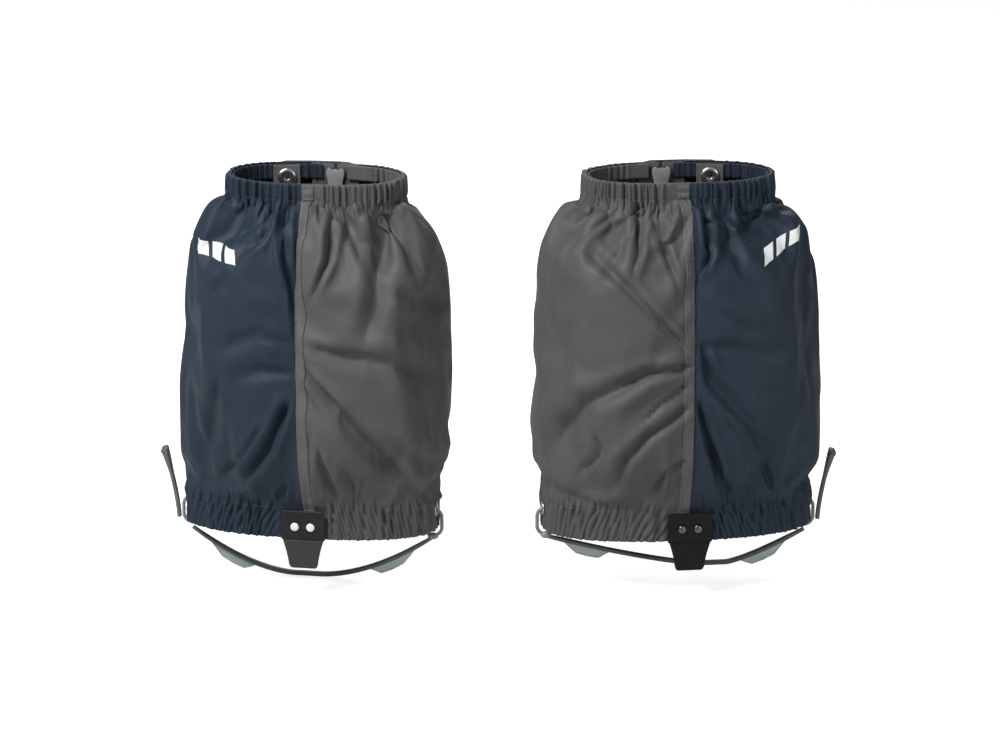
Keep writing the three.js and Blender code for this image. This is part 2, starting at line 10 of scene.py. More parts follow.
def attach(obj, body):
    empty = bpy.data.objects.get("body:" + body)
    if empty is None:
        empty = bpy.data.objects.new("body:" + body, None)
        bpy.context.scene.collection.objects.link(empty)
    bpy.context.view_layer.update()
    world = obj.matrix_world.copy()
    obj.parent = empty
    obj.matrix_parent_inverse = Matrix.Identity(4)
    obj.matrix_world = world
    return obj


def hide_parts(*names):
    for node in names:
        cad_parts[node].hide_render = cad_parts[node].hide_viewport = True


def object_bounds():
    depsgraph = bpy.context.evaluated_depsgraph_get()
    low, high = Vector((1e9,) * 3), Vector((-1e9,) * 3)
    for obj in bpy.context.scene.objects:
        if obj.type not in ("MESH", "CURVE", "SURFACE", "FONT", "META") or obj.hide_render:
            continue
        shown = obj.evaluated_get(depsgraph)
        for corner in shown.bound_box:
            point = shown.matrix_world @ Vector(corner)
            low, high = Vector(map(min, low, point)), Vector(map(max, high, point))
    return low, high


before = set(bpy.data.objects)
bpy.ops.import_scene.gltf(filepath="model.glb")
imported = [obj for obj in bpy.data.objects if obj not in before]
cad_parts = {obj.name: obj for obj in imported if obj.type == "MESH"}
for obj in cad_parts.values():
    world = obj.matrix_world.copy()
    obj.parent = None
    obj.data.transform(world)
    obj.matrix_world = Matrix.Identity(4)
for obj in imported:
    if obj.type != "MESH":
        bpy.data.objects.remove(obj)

cad_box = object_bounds()

# ---- camera, light and floor -----------------------------------------------------------------------
# The pair stands before a white sweep. A long lens looks a little down on it from the front.
MM = 0.001
low, high = (Vector(corner) for corner in cad_box)
aim = Vector((0.0016, 0, 0.107))
elevation = math.radians(15.5)
lens, sensor, view_width = 135, 36, 0.65
distance = view_width * lens / sensor
camera = bpy.data.objects.new("camera", bpy.data.cameras.new("camera"))
camera.data.lens = lens
camera.data.sensor_width = sensor
camera.location = aim + distance * Vector((0, -math.cos(elevation), math.sin(elevation)))
camera.rotation_euler = (aim - camera.location).to_track_quat("-Z", "Y").to_euler()
bpy.context.collection.objects.link(camera)
bpy.context.scene.camera = camera
bpy.context.scene.view_settings.view_transform = "Standard"


def softbox(name, place, size, power):
    light = bpy.data.objects.new(name, bpy.data.lights.new(name, "AREA"))
    light.data.shape = "RECTANGLE"
    light.data.size, light.data.size_y = size
    light.data.energy = power
    light.location = place
    light.rotation_euler = (Vector((0, 0, 0.1)) - light.location).to_track_quat("-Z", "Y").to_euler()
    bpy.context.collection.objects.link(light)


softbox("key_softbox", (-0.95, -0.8, 1.45), (0.6, 0.6), 38)
softbox("fill_softbox", (1.1, -1.1, 0.5), (0.8, 0.8), 5.5)
softbox("back_softbox", (0.2, 1.3, 1.1), (1.0, 0.7), 9)

world = bpy.data.worlds.new("studio")
bpy.context.scene.world = world
world.use_nodes = True
world.node_tree.nodes["Background"].inputs["Color"].default_value = (1, 1, 1, 1)
world.node_tree.nodes["Background"].inputs["Strength"].default_value = 0.17

floor_bm = bmesh.new()
bmesh.ops.create_grid(floor_bm, x_segments=2, y_segments=2, size=12)
bmesh.ops.translate(floor_bm, verts=floor_bm.verts, vec=(0, 0, low.z - 0.0005))
floor_mesh = bpy.data.meshes.new("floor")
floor_bm.to_mesh(floor_mesh)
floor = bpy.data.objects.new("floor", floor_mesh)
bpy.context.collection.objects.link(floor)
floor_finish = bpy.data.materials.new("white_sweep")
floor_finish.use_nodes = True
floor_shader = floor_finish.node_tree.nodes["Principled BSDF"]
floor_shader.inputs["Base Color"].default_value = (0.7, 0.7, 0.7, 1)
floor_shader.inputs["Roughness"].default_value = 0.9
floor_shader.inputs["Emission Color"].default_value = (1, 1, 1, 1)
seen = floor_finish.node_tree.nodes.new("ShaderNodeLightPath")
glow = floor_finish.node_tree.nodes.new("ShaderNodeMath")
glow.operation = "MULTIPLY"
glow.inputs[1].default_value = 0.8
floor_finish.node_tree.links.new(seen.outputs["Is Camera Ray"], glow.inputs[0])
floor_finish.node_tree.links.new(glow.outputs[0], floor_shader.inputs["Emission Strength"])
floor_mesh.materials.append(floor_finish)

# ---- the two gaiters' stance -----------------------------------------------------------------------
# Each gaiter is cut as a tube that is narrow at its top hem, full at the calf and a little drawn in at
# the boot. It is worked out in its own frame, in millimetres, with the outer side of the leg at -X, and
# then turned out at the toe and, for the left leg, mirrored.
HEIGHT, BELLY_HEIGHT, BOTTOM_HEM, TOP_HEM = 234, 90, 21, 11
ROUNDNESS = 2.4
SPACING = 234
SEAM_X, ZIP_X, ZIP_SLOT = -2, 6, 7.2
RIGHT = {
    "name": "right", "hem": (82.5, 37), "belly": (88.5, 46), "band": (56.5, 33.5),
    "shoulder": (3.3, 0.625), "lean": 5, "toe_out": 10, "strap_low": (-8, -36), "strap_slack": 1.75,
    "seed": 3, "side": 1,
}
LEFT = {
    "name": "left", "hem": (87.5, 41), "belly": (93.5, 48), "band": (60.5, 33.5),
    "shoulder": (2.6, 0.376), "lean": 0, "toe_out": 7, "strap_low": (-25, -29), "strap_slack": 1.3,
    "seed": 11, "side": -1,
}
PAIR = (RIGHT, LEFT)


def stance(g):
    turn = Matrix.Rotation(math.radians(-g["side"] * g["toe_out"]), 4, "Z")
    return (Matrix.Translation((-g["side"] * SPACING / 2 * MM, 0, 0)) @ turn
            @ Matrix.Diagonal((g["side"] * MM, MM, MM, 1)))


def section(g, z):
    t = min(max((z - BOTTOM_HEM) / (HEIGHT - TOP_HEM - BOTTOM_HEM), 0), 1)
    swell = (1 - t ** g["shoulder"][0]) ** g["shoulder"][1]
    dip = min(max((BELLY_HEIGHT - z) / (BELLY_HEIGHT - BOTTOM_HEM), 0), 1) ** 2.5
    a, b = (g["band"][i] + (g["belly"][i] - g["band"][i]) * swell
            - (g["belly"][i] - g["hem"][i]) * dip for i in (0, 1))
    return a, b, -g["lean"] * dip, g["hem"][1] - b


def wall(g, z, angle, out=0.0):
    """A point on the gaiter's outer face: 0 is its inner side, a quarter turn is its back."""
    a, b, x0, y0 = section(g, z)
    c, s = math.cos(angle), math.sin(angle)
    u = math.copysign(abs(c) ** (2 / ROUNDNESS), c)
    v = math.copysign(abs(s) ** (2 / ROUNDNESS), s)
    n = Vector((math.copysign(abs(u) ** (ROUNDNESS - 1), u) / a,
                math.copysign(abs(v) ** (ROUNDNESS - 1), v) / b, 0)).normalized()
    return Vector((x0 + a * u, y0 + b * v, z)) + out * n


def back_angle(g, z, x):
    a, _, x0, _ = section(g, z)
    u = (x - x0) / a
    return math.acos(math.copysign(abs(u) ** (ROUNDNESS / 2), u))


def front_angle(g, z, x):
    return 2 * math.pi - back_angle(g, z, x)


def unrest(x, y, z):
    return noise.noise(Vector((x, y, z + 0.37)))


def place(g, bm, name, body, nodes, slot, *finishes, smooth=True):
    """Puts a piece that was made in the gaiter's own frame in its place on the pair."""
    bm.transform(stance(g))
    if g["side"] < 0:
        bmesh.ops.reverse_faces(bm, faces=bm.faces)
    mesh = bpy.data.meshes.new(f"{g['name']}_{name}")
    bm.to_mesh(mesh)
    bm.free()
    for finish in finishes:
        mesh.materials.append(finish)
    mesh.polygons.foreach_set("use_smooth", [smooth] * len(mesh.polygons))
    piece = bpy.data.objects.new(f"{g['name']}_{name}", mesh)
    bpy.context.collection.objects.link(piece)
    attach(piece, f"{g['name']}_{body}")
    if nodes:
        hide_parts(*(f"{g['name']}_{node}" for node in nodes))
    return piece


# ---- woven cloth finish ----------------------------------------------------------------------------
# The panels are a tight, matt plain-weave nylon with a faint sheen where it turns away. Warp and weft
# cross in low relief, and the tone wanders a little in soft clouds and fine slubs, as in any dyed cloth.
def new_group(name, inputs, outputs):
    group = bpy.data.node_groups.new(name, "ShaderNodeTree")
    for socket, kind, value in inputs:
        made = group.interface.new_socket(socket, in_out="INPUT", socket_type=kind)
        if value is not None:
            made.default_value = value
    for socket, kind in outputs:
        group.interface.new_socket(socket, in_out="OUTPUT", socket_type=kind)
    return group, group.nodes.new("NodeGroupInput"), group.nodes.new("NodeGroupOutput")


def math_node(tree, operation, first, second=None):
    node = tree.nodes.new("ShaderNodeMath")
    node.operation = operation
    for slot, value in zip(node.inputs, (first, second)):
        if value is None:
            continue
        if isinstance(value, (int, float)):
            slot.default_value = value
        else:
            tree.links.new(value, slot)
    return node.outputs[0]


weave_group, weave_in, weave_out = new_group(
    "plain_weave",
    [("Coordinates", "NodeSocketVector", None), ("Threads", "NodeSocketFloat", 2400.0),
     ("Colour", "NodeSocketColor", (0.1, 0.1, 0.1, 1)),
     ("Shaded Colour", "NodeSocketColor", (0.05, 0.05, 0.05, 1)),
     ("Contrast", "NodeSocketFloat", 0.25)],
    [("Colour", "NodeSocketColor"), ("Height", "NodeSocketFloat"), ("Roughness", "NodeSocketFloat")])
split = weave_group.nodes.new("ShaderNodeSeparateXYZ")
weave_group.links.new(weave_in.outputs["Coordinates"], split.inputs[0])
warp = math_node(weave_group, "SINE", math_node(weave_group, "MULTIPLY", split.outputs["X"],
                                                 weave_in.outputs["Threads"]))
weft = math_node(weave_group, "SINE", math_node(weave_group, "MULTIPLY", split.outputs["Y"],
                                                 weave_in.outputs["Threads"]))
crossing = math_node(weave_group, "MULTIPLY", warp, weft)
weave_height = math_node(weave_group, "MULTIPLY_ADD", crossing, 0.5)
weave_height.node.inputs[2].default_value = 0.5
cloud = weave_group.nodes.new("ShaderNodeTexNoise")
cloud.inputs["Scale"].default_value = 60
cloud.inputs["Detail"].default_value = 5
weave_group.links.new(weave_in.outputs["Coordinates"], cloud.inputs["Vector"])
slub = weave_group.nodes.new("ShaderNodeTexNoise")
slub.inputs["Scale"].default_value = 900
slub.inputs["Detail"].default_value = 2
weave_group.links.new(weave_in.outputs["Coordinates"], slub.inputs["Vector"])
tone = weave_group.nodes.new("ShaderNodeMix")
tone.data_type = "RGBA"
blend_by = math_node(weave_group, "MULTIPLY", math_node(weave_group, "ADD", cloud.outputs["Fac"],
                                                        slub.outputs["Fac"]), weave_in.outputs["Contrast"])
weave_group.links.new(blend_by, tone.inputs["Factor"])
weave_group.links.new(weave_in.outputs["Colour"], tone.inputs["A"])
weave_group.links.new(weave_in.outputs["Shaded Colour"], tone.inputs["B"])
weave_group.links.new(tone.outputs["Result"], weave_out.inputs["Colour"])
weave_group.links.new(weave_height, weave_out.inputs["Height"])
weave_rough = math_node(weave_group, "MULTIPLY_ADD", cloud.outputs["Fac"], 0.2)
weave_rough.node.inputs[2].default_value = 0.52
weave_group.links.new(weave_rough, weave_out.inputs["Roughness"])


def grouped_finish(name, effect, values, coordinates="Object", bump=0.0, relief=0.0001):
    """A finish that takes its colour, its roughness and its fine relief from one node group."""
    finish = bpy.data.materials.new(name)
    finish.use_nodes = True
    tree = finish.node_tree
    shader = tree.nodes["Principled BSDF"]
    where = tree.nodes.new("ShaderNodeTexCoord")
    placed = tree.nodes.new("ShaderNodeGroup")
    placed.node_tree = effect
    for socket, value in values.items():
        placed.inputs[socket].default_value = value
    tree.links.new(where.outputs[coordinates], placed.inputs["Coordinates"])
    tree.links.new(placed.outputs["Colour"], shader.inputs["Base Color"])
    if "Roughness" in placed.outputs:
        tree.links.new(placed.outputs["Roughness"], shader.inputs["Roughness"])
    if bump:
        raised = tree.nodes.new("ShaderNodeBump")
        raised.inputs["Strength"].default_value = bump
        raised.inputs["Distance"].default_value = relief
        tree.links.new(placed.outputs["Height"], raised.inputs["Height"])
        tree.links.new(raised.outputs["Normal"], shader.inputs["Normal"])
    return finish, shader


def cloth_finish(name, colour, shaded, threads=9000.0, contrast=0.25, bump=0.15, sheen=0.04, uv=True):
    finish, shader = grouped_finish(
        name, weave_group, {"Threads": threads, "Colour": (*colour, 1), "Shaded Colour": (*shaded, 1),
                            "Contrast": contrast}, "UV" if uv else "Object", bump, 0.0002)
    shader.inputs["Sheen Weight"].default_value = sheen
    shader.inputs["Sheen Roughness"].default_value = 0.4
    shader.inputs["Specular IOR Level"].default_value = 0.3
    return finish


navy_cloth = cloth_finish("navy_cloth", (0.0135, 0.0255, 0.043), (0.009, 0.018, 0.032))
grey_cloth = cloth_finish("grey_cloth", (0.084, 0.083, 0.082), (0.056, 0.056, 0.056))

# ---- side panels -----------------------------------------------------------------------------------
# Two panels of cloth make the tube: navy on the outer side of the leg, grey between the legs. Each is cut
# flat and square, sewn to the other down the front and to the zip at the back, and gathered on elastic at
# the top and at the bottom, so the fullness falls in fine ruffles that run out into soft folds.
COLUMNS, ROWS = 168, 96
FULLNESS, SEAM_EASE = 1.065, 1.05
RUFFLES = 54
CLOTH = 0.5
EASING_PASSES = 14
TAB_ROOT_X = 18
SETTLE_FRAMES = 26
FINE_COLUMNS, FINE_ROWS = ((384, 80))


def ease(value, start, end):
    t = min(max((value - start) / (end - start), 0), 1)
    return t * t * (3 - 2 * t)


def even_row(g, z, start, end, count):
    """Angles at equal steps of girth along one level of the wall, and that girth."""
    fine = [wall(g, z, start + (end - start) * i / 300) for i in range(301)]
    run = [0.0]
    for here, there in zip(fine, fine[1:]):
        run.append(run[-1] + (there - here).length)
    steps = np.interp(np.linspace(0, run[-1], count + 1), run, np.arange(301))
    return [start + (end - start) * step / 300 for step in steps], run[-1]


def panel_edges(g, panel, z):
    if panel == "outer":
        return back_angle(g, z, ZIP_X - ZIP_SLOT / 2), front_angle(g, z, SEAM_X)
    return front_angle(g, z, SEAM_X) - 2 * math.pi, back_angle(g, z, ZIP_X + ZIP_SLOT / 2)


def calm(g, panel, point, top):
    """How freely a hem ruffles at a place: 0 where hardware holds it flat, 1 well clear of it."""
    if point.y > 0:
        free = ease(abs(point.x - ZIP_X), 5, 14)
        if top:
            free *= ease(math.hypot(point.x + 26.5, point.z - 224.5), 7, 15)
            if point.x > ZIP_X:
                free *= ease(point.x - TAB_ROOT_X, 4, 18)
    else:
        flat = (9, 17) if panel == "inner" else (1, 6)
        if not top:
            flat = (12, 20)
        free = ease(abs(point.x - SEAM_X), *flat)
    if not top:
        a, _, x0, _ = section(g, 13)
        if abs(abs(point.x - x0) - a) < 25:
            free *= ease(math.hypot(point.y, point.z - 13), 4.5, 9)
    return free


def gather(g, panel, across, top):
    """The soft folds drawn up by the stitch line, two ruffles to a fold."""
    lane = g["seed"] + 7 * top + 13 * (panel == "outer")
    turn = across * RUFFLES / 2 + 1.0 * unrest(across * 9, lane, 2) + 0.3 * unrest(across * 23, lane, 5)
    size = 1.35 * (0.8 + 0.8 * unrest(across * 15, lane + 2, 1))
    return size * (math.sin(2 * math.pi * turn) + 0.65)


def ruffle(g, panel, across, top, drop):
    """The narrow ruffles of the hem itself: round ridges between sharp valleys."""
    lane = g["seed"] + 7 * top + 13 * (panel == "outer")
    slant = 0 if top else 0.13 * across ** 1.5 if panel == "outer" else -0.13 * (1 - across) ** 1.5
    turn = (across * RUFFLES + 1.6 * unrest(across * 9, lane, 2) + 0.5 * unrest(across * 31, lane, 9)
            + slant * drop + 0.35 * unrest(across * 12, lane, drop * 0.06))
    size = 2.1 * (0.85 + 0.7 * unrest(math.floor(turn) * 0.71, lane, 3 + drop * 0.02))
    return size * (abs(math.sin(math.pi * turn)) ** 0.78 - 0.38), turn


def hem_point(g, panel, across, angle, z, top, out=0.0, fullness=1.0):
    drop = (z - (HEIGHT - TOP_HEM)) if top else (BOTTOM_HEM - z)
    foot = wall(g, z, angle)
    free = calm(g, panel, foot, top) * fullness
    fold = gather(g, panel, across, top) * (1 - 0.45 * ease(abs(drop), 0, 18))
    return wall(g, z, angle, out + free * (fold + ruffle(g, panel, across, top, abs(drop))[0]))


def cloth_mesh(rows, levels, width, name="weave"):
    """A sheet of cloth as a grid of faces, with its weave laid out in metres."""
    bm = bmesh.new()
    stride = len(rows[0])
    bmesh.ops.create_grid(bm, x_segments=stride - 1, y_segments=len(rows) - 1, size=1)
    bm.verts.ensure_lookup_table()
    for vert, point in zip(bm.verts, (p for row in rows for p in row)):
        vert.co = point
    weave = bm.loops.layers.uv.new(name)
    for face in bm.faces:
        for loop in face.loops:
            j, i = divmod(loop.vert.index, stride)
            loop[weave].uv = (i / (stride - 1) * width * MM, levels[j] * MM)
    return bm


def panel_start(g, panel):
    """The panel as it is cut, wrapped loosely round the calf, and as it is sewn and gathered."""
    heights = [BOTTOM_HEM + (HEIGHT - TOP_HEM - BOTTOM_HEM) * (1 - (1 - j / ROWS) ** 1.25)
               for j in range(ROWS + 1)]
    girths, sewn = [], []
    for z in heights:
        angles, girth = even_row(g, z, *panel_edges(g, panel, z), COLUMNS)
        girths.append(girth)
        sewn.append([wall(g, z, angle) for angle in angles])
    fullest = girths.index(max(girths))
    climb = [0.0]
    for j in range(ROWS):
        climb.append(climb[-1] + (sewn[j + 1][COLUMNS // 2] - sewn[j][COLUMNS // 2]).length)
    middle = sum(sewn[fullest], Vector()) / (COLUMNS + 1)
    middle.x = (SEAM_X + ZIP_X) / 2
    cut = []
    for j in range(ROWS + 1):
        level = (BOTTOM_HEM + HEIGHT - TOP_HEM) / 2 + (climb[j] - climb[-1] / 2) * SEAM_EASE
        for i in range(COLUMNS + 1):
            around = middle + (sewn[fullest][i] - middle) * FULLNESS
            out = (around - middle).normalized() * (
                0.8 * unrest(i / COLUMNS * 14, climb[j] * 0.07, g["seed"])
                + 0.6 * unrest(i / COLUMNS * 38, climb[j] * 0.03, g["seed"] + 5))
            cut.append(Vector((around.x + out.x, around.y + out.y, level)))
    for j in (0, ROWS):
        angles, _ = even_row(g, heights[j], *panel_edges(g, panel, heights[j]), COLUMNS)
        for i, angle in enumerate(angles):
            free = calm(g, panel, wall(g, heights[j], angle), j > 0)
            sewn[j][i] = wall(g, heights[j], angle, free * gather(g, panel, i / COLUMNS, j > 0))
    return cut, [p for row in sewn for p in row], girths[fullest] * FULLNESS, climb[-1] * SEAM_EASE


def cloth_sheet(cut, sewn):
    """A sheet that starts as cut and is then drawn into the hems, the front seam and the zip."""
    bm = bmesh.new()
    bmesh.ops.create_grid(bm, x_segments=COLUMNS, y_segments=ROWS, size=1)
    for vert, point in zip(bm.verts, cut):
        vert.co = point * MM
    mesh = bpy.data.meshes.new("loose_sheet")
    bm.to_mesh(mesh)
    bm.free()
    loose = bpy.data.objects.new("loose_sheet", mesh)
    bpy.context.collection.objects.link(loose)
    loose.shape_key_add(name="cut")
    drawn = loose.shape_key_add(name="sewn")
    for spot, point in zip(drawn.data, sewn):
        spot.co = point * MM
    drawn.value = 0
    drawn.keyframe_insert("value", frame=1)
    drawn.value = 1
    drawn.keyframe_insert("value", frame=12)
    stride = COLUMNS + 1
    held = loose.vertex_groups.new(name="held")
    held.add(list(range(len(cut))), 0.008, "REPLACE")
    held.add([j * stride + i for j in range(ROWS + 1) for i in range(stride)
              if j in (0, ROWS) or i in (0, COLUMNS)], 1.0, "REPLACE")
    cloth = loose.modifiers.new("cloth", "CLOTH")
    cloth.settings.vertex_group_mass = "held"
    cloth.settings.quality = 5
    cloth.settings.mass = 0.1
    cloth.settings.tension_stiffness = 20
    cloth.settings.compression_stiffness = 20
    cloth.settings.shear_stiffness = 5
    cloth.settings.bending_stiffness = 4
    cloth.settings.bending_damping = 0.5
    cloth.settings.tension_damping = 5
    cloth.settings.compression_damping = 5
    cloth.settings.shear_damping = 5
    cloth.settings.air_damping = 4
    cloth.settings.use_pressure = True
    cloth.settings.uniform_pressure_force = 0.5
    cloth.settings.effector_weights.gravity = 0
    cloth.collision_settings.use_collision = False
    cloth.collision_settings.use_self_collision = False
    cloth.point_cache.frame_start = 1
    cloth.point_cache.frame_end = SETTLE_FRAMES + 10
    return loose


def resample(points, count):
    """Even steps along a smooth curve through the first axis of an array of points."""
    last = len(points) - 1
    at = np.linspace(0, last, count + 1)
    i = np.minimum(at.astype(int), last - 1)
    t = (at - i)[:, None, None]
    ends = np.concatenate([2 * points[:1] - points[1:2], points, 2 * points[-1:] - points[-2:-1]])
    a, b, c, d = (ends[i + k] for k in range(4))
    return b + 0.5 * t * (c - a + t * (2 * a - 5 * b + 4 * c - d + t * (3 * (b - c) + d - a)))


loose_sheets = {}
for g in PAIR:
    for panel in ("outer", "inner"):
        cut, sewn, width, length = panel_start(g, panel)
        loose_sheets[g["name"], panel] = (cloth_sheet(cut, sewn), sewn, width, length)
for step in range(1, SETTLE_FRAMES + 1):
    bpy.context.scene.frame_set(step)
settled = {}
for key, (loose, sewn, width, length) in loose_sheets.items():
    draped = loose.evaluated_get(bpy.context.evaluated_depsgraph_get()).to_mesh()
    points = np.empty(len(sewn) * 3)
    draped.vertices.foreach_get("co", points)
    points = points.reshape(-1, 3) / MM
    points = points.reshape(ROWS + 1, COLUMNS + 1, 3)
    points = resample(points, FINE_ROWS)
    settled[key] = resample(points.transpose(1, 0, 2), FINE_COLUMNS).transpose(1, 0, 2)
for loose, *_ in loose_sheets.values():
    worn_out = loose.data
    bpy.data.objects.remove(loose)
    bpy.data.meshes.remove(worn_out)
bpy.context.scene.frame_set(1)


# The drag folds that the drawn-up seam and the hems throw across the front: the line each valley follows
# in X and Z, its half width at both ends and its depth.
FOLDS = {
    ("right", "inner"): [
        (((19.9, 223.3), (19.3, 190.4), (10.3, 167.7)), 2.4, 1.6, 2.6),
        (((49.4, 214.3), (50.6, 171.1), (43.2, 138.7)), 5.0, 5.0, 3.4),
        (((53.1, 227.5), (55.0, 216.4), (53.9, 211.6)), 2.2, 2.0, 2.0),
        (((9.6, 134.2), (27.2, 129.4), (59.0, 124.9), (86.3, 106.6)), 2.5, 7.0, 2.4),
        (((8.5, 114.2), (27.5, 92.1), (48.4, 62.7), (63.3, 31.9)), 2.0, 7.5, 4.0),
        (((12.3, 64.4), (16.6, 42.8), (20.3, 25.0)), 2.2, 2.6, 2.0),
        (((26.9, 51.9), (30.5, 37.1), (33.0, 22.8)), 1.8, 2.4, 1.5),
        (((64.1, 170.0), (75.8, 159.7), (86.0, 148.1)), 3.0, 4.0, 1.6),
        (((56.1, 69.4), (71.0, 59.6), (85.7, 43.7)), 4.0, 5.0, 1.8),
        (((39.4, 224.8), (38.4, 219.5), (35.3, 213.9)), 2.0, 1.6, 1.6),
    ],
    ("right", "outer"): [
        (((-13.0, 226.7), (-9.1, 193.7), (-3.6, 170.3), (-1.8, 144.2)), 2.9, 1.6, 3.6),
        (((-21.7, 224.6), (-20.0, 217.0), (-24.2, 202.2), (-33.3, 195.1)), 2.4, 1.6, 2.2),
        (((-8.6, 93.4), (-22.1, 63.9), (-41.5, 38.9)), 2.6, 3.2, 4.0),
        (((-25.9, 78.8), (-41.3, 55.1), (-58.2, 37.5)), 1.4, 2.0, 1.7),
        (((-12.0, 38.3), (-20.7, 23.6)), 1.8, 2.0, 2.0),
        (((-54.7, 104.7), (-60.3, 80.4), (-69.2, 43.6)), 3.0, 5.0, 1.8),
        (((-2.1, 115.7), (-25.4, 116.4), (-45.7, 109.2)), 2.0, 5.0, 1.3),
        (((-49.0, 173.1), (-57.2, 163.5)), 3.0, 3.0, 1.0),
        (((-2.3, 135.0), (-27.7, 140.7), (-56.4, 126.4)), 2.5, 5.0, 1.4),
    ],
    ("left", "inner"): [
        (((27.5, 230.8), (31.2, 210.6), (37.9, 184.1)), 3.0, 2.0, 3.2),
        (((17.9, 223.4), (18.7, 201.3), (9.0, 172.2)), 2.4, 1.8, 1.6),
        (((6.1, 135.3), (24.2, 154.2), (38.8, 170.5), (68.7, 198.3)), 1.8, 3.2, 2.4),
        (((37.8, 218.0), (53.5, 209.7), (68.5, 202.0)), 1.5, 2.0, 1.2),
        (((4.3, 121.3), (29.7, 117.8), (66.0, 97.2), (91.1, 49.3)), 2.0, 7.5, 3.6),
        (((4.3, 108.7), (20.7, 97.1), (35.0, 82.4)), 1.4, 1.6, 1.7),
        (((4.4, 93.3), (27.9, 77.7), (42.5, 60.4), (49.0, 39.4)), 2.2, 3.4, 3.2),
        (((4.2, 57.8), (16.4, 48.9), (23.6, 31.4)), 1.6, 2.4, 2.0),
        (((61.7, 74.7), (57.2, 64.0), (69.3, 47.4)), 2.2, 2.0, 1.8),
        (((10.1, 224.6), (10.9, 215.2)), 1.8, 1.4, 1.4),
    ],
    ("left", "outer"): [
        (((-10.9, 222.6), (-10.5, 194.1), (-3.6, 177.0)), 3.0, 1.6, 3.6),
        (((-30.9, 223.2), (-34.6, 215.6), (-39.5, 206.2)), 2.0, 2.4, 2.6),
        (((-54.7, 223.5), (-47.2, 212.1), (-40.1, 204.9)), 2.2, 2.2, 2.6),
        (((-20.8, 223.4), (-21.6, 219.2)), 2.0, 1.6, 1.8),
        (((-6.3, 132.3), (-12.1, 110.8), (-39.8, 81.0), (-55.6, 51.7)), 2.4, 6.5, 3.0),
        (((-4.1, 96.4), (-14.0, 64.8), (-27.2, 26.3)), 2.0, 3.0, 3.8),
        (((-49.6, 51.0), (-57.1, 31.0)), 1.8, 2.2, 2.0),
        (((-19.0, 154.8), (-31.5, 146.9), (-42.8, 137.4)), 2.5, 3.5, 1.2),
        (((-3.7, 132.4), (-22.8, 134.2), (-48.1, 128.3), (-68.7, 130.3)), 2.0, 5.0, 1.3),
        (((-22.5, 84.9), (-33.2, 70.6), (-42.7, 54.5)), 1.6, 2.0, 1.4),
    ],
}


PRESS, HEAP = 1.55, 0.45


def press_folds(g, panel, points, outwards, clear):
    """Presses the drag folds into the front of a panel, with the cloth heaped up on both sides of each."""
    front = points[..., 1] < 6
    for path, thin, wide, depth in FOLDS[g["name"], panel]:
        path = np.array(path)
        lengths = np.linalg.norm(np.diff(path, axis=0), axis=1)
        nearest = np.full(front.shape, 1e9)
        share = np.zeros(front.shape)
        for k, length in enumerate(lengths):
            here, step = path[k], path[k + 1] - path[k]
            gap = points[..., (0, 2)] - here
            t = np.clip((gap @ step) / length ** 2, 0 if k else -0.2, 1 if k < len(lengths) - 1 else 1.3)
            away = np.linalg.norm(gap - t[..., None] * step, axis=-1)
            closer = away < nearest
            nearest = np.where(closer, away, nearest)
            share = np.where(closer, (lengths[:k].sum() + t * length) / lengths.sum(), share)
        width = thin + (wide - thin) * np.clip(share, 0, 1)
        fade = np.clip((share + 0.12) / 0.2, 0, 1) * np.clip((1.15 - share) / 0.45, 0, 1)
        fade = fade * fade * (3 - 2 * fade)
        valley = np.exp(-(nearest / width) ** 1.6)
        heap = np.exp(-((nearest - 2.1 * width) / (1.25 * width)) ** 2)
        points += outwards * (PRESS * depth * fade * front * clear * (HEAP * heap - valley))[..., None]


HEM_LEVELS = [20.3, 19.4, 18.2, 17.2, 16.4, 15.6, 14.8, 14, 13.2, 12.4, 11.6, 10.8, 10, 9.2, 8.2, 7, 5.6, 4.2,
              2.8, 1.7, 0.9]
TOP_LEVELS = [223.5, 224.2, 225.1, 226.1, 227.1, 228.1, 229.1, 230.1, 231.1, 232.1, 232.9]


def hem_rows(g, panel, top):
    """The cloth of a hem, from its stitch line to the edge that is folded over the elastic."""
    rows = []
    levels = TOP_LEVELS if top else HEM_LEVELS
    turned = ((233.5, -0.25), (233.9, -0.8), (233.95, -1.5), (233.6, -2.1)) if top else \
             ((0.35, -0.35), (0.05, -0.9), (0.05, -1.6), (0.5, -2.2))
    for z, out in [(level, 0.0) for level in levels] + list(turned):
        angles, _ = even_row(g, z, *panel_edges(g, panel, z), FINE_COLUMNS)
        rows.append([hem_point(g, panel, i / FINE_COLUMNS, angle, z, top, out, 1 - 0.18 * abs(out))
                     for i, angle in enumerate(angles)])
    return rows


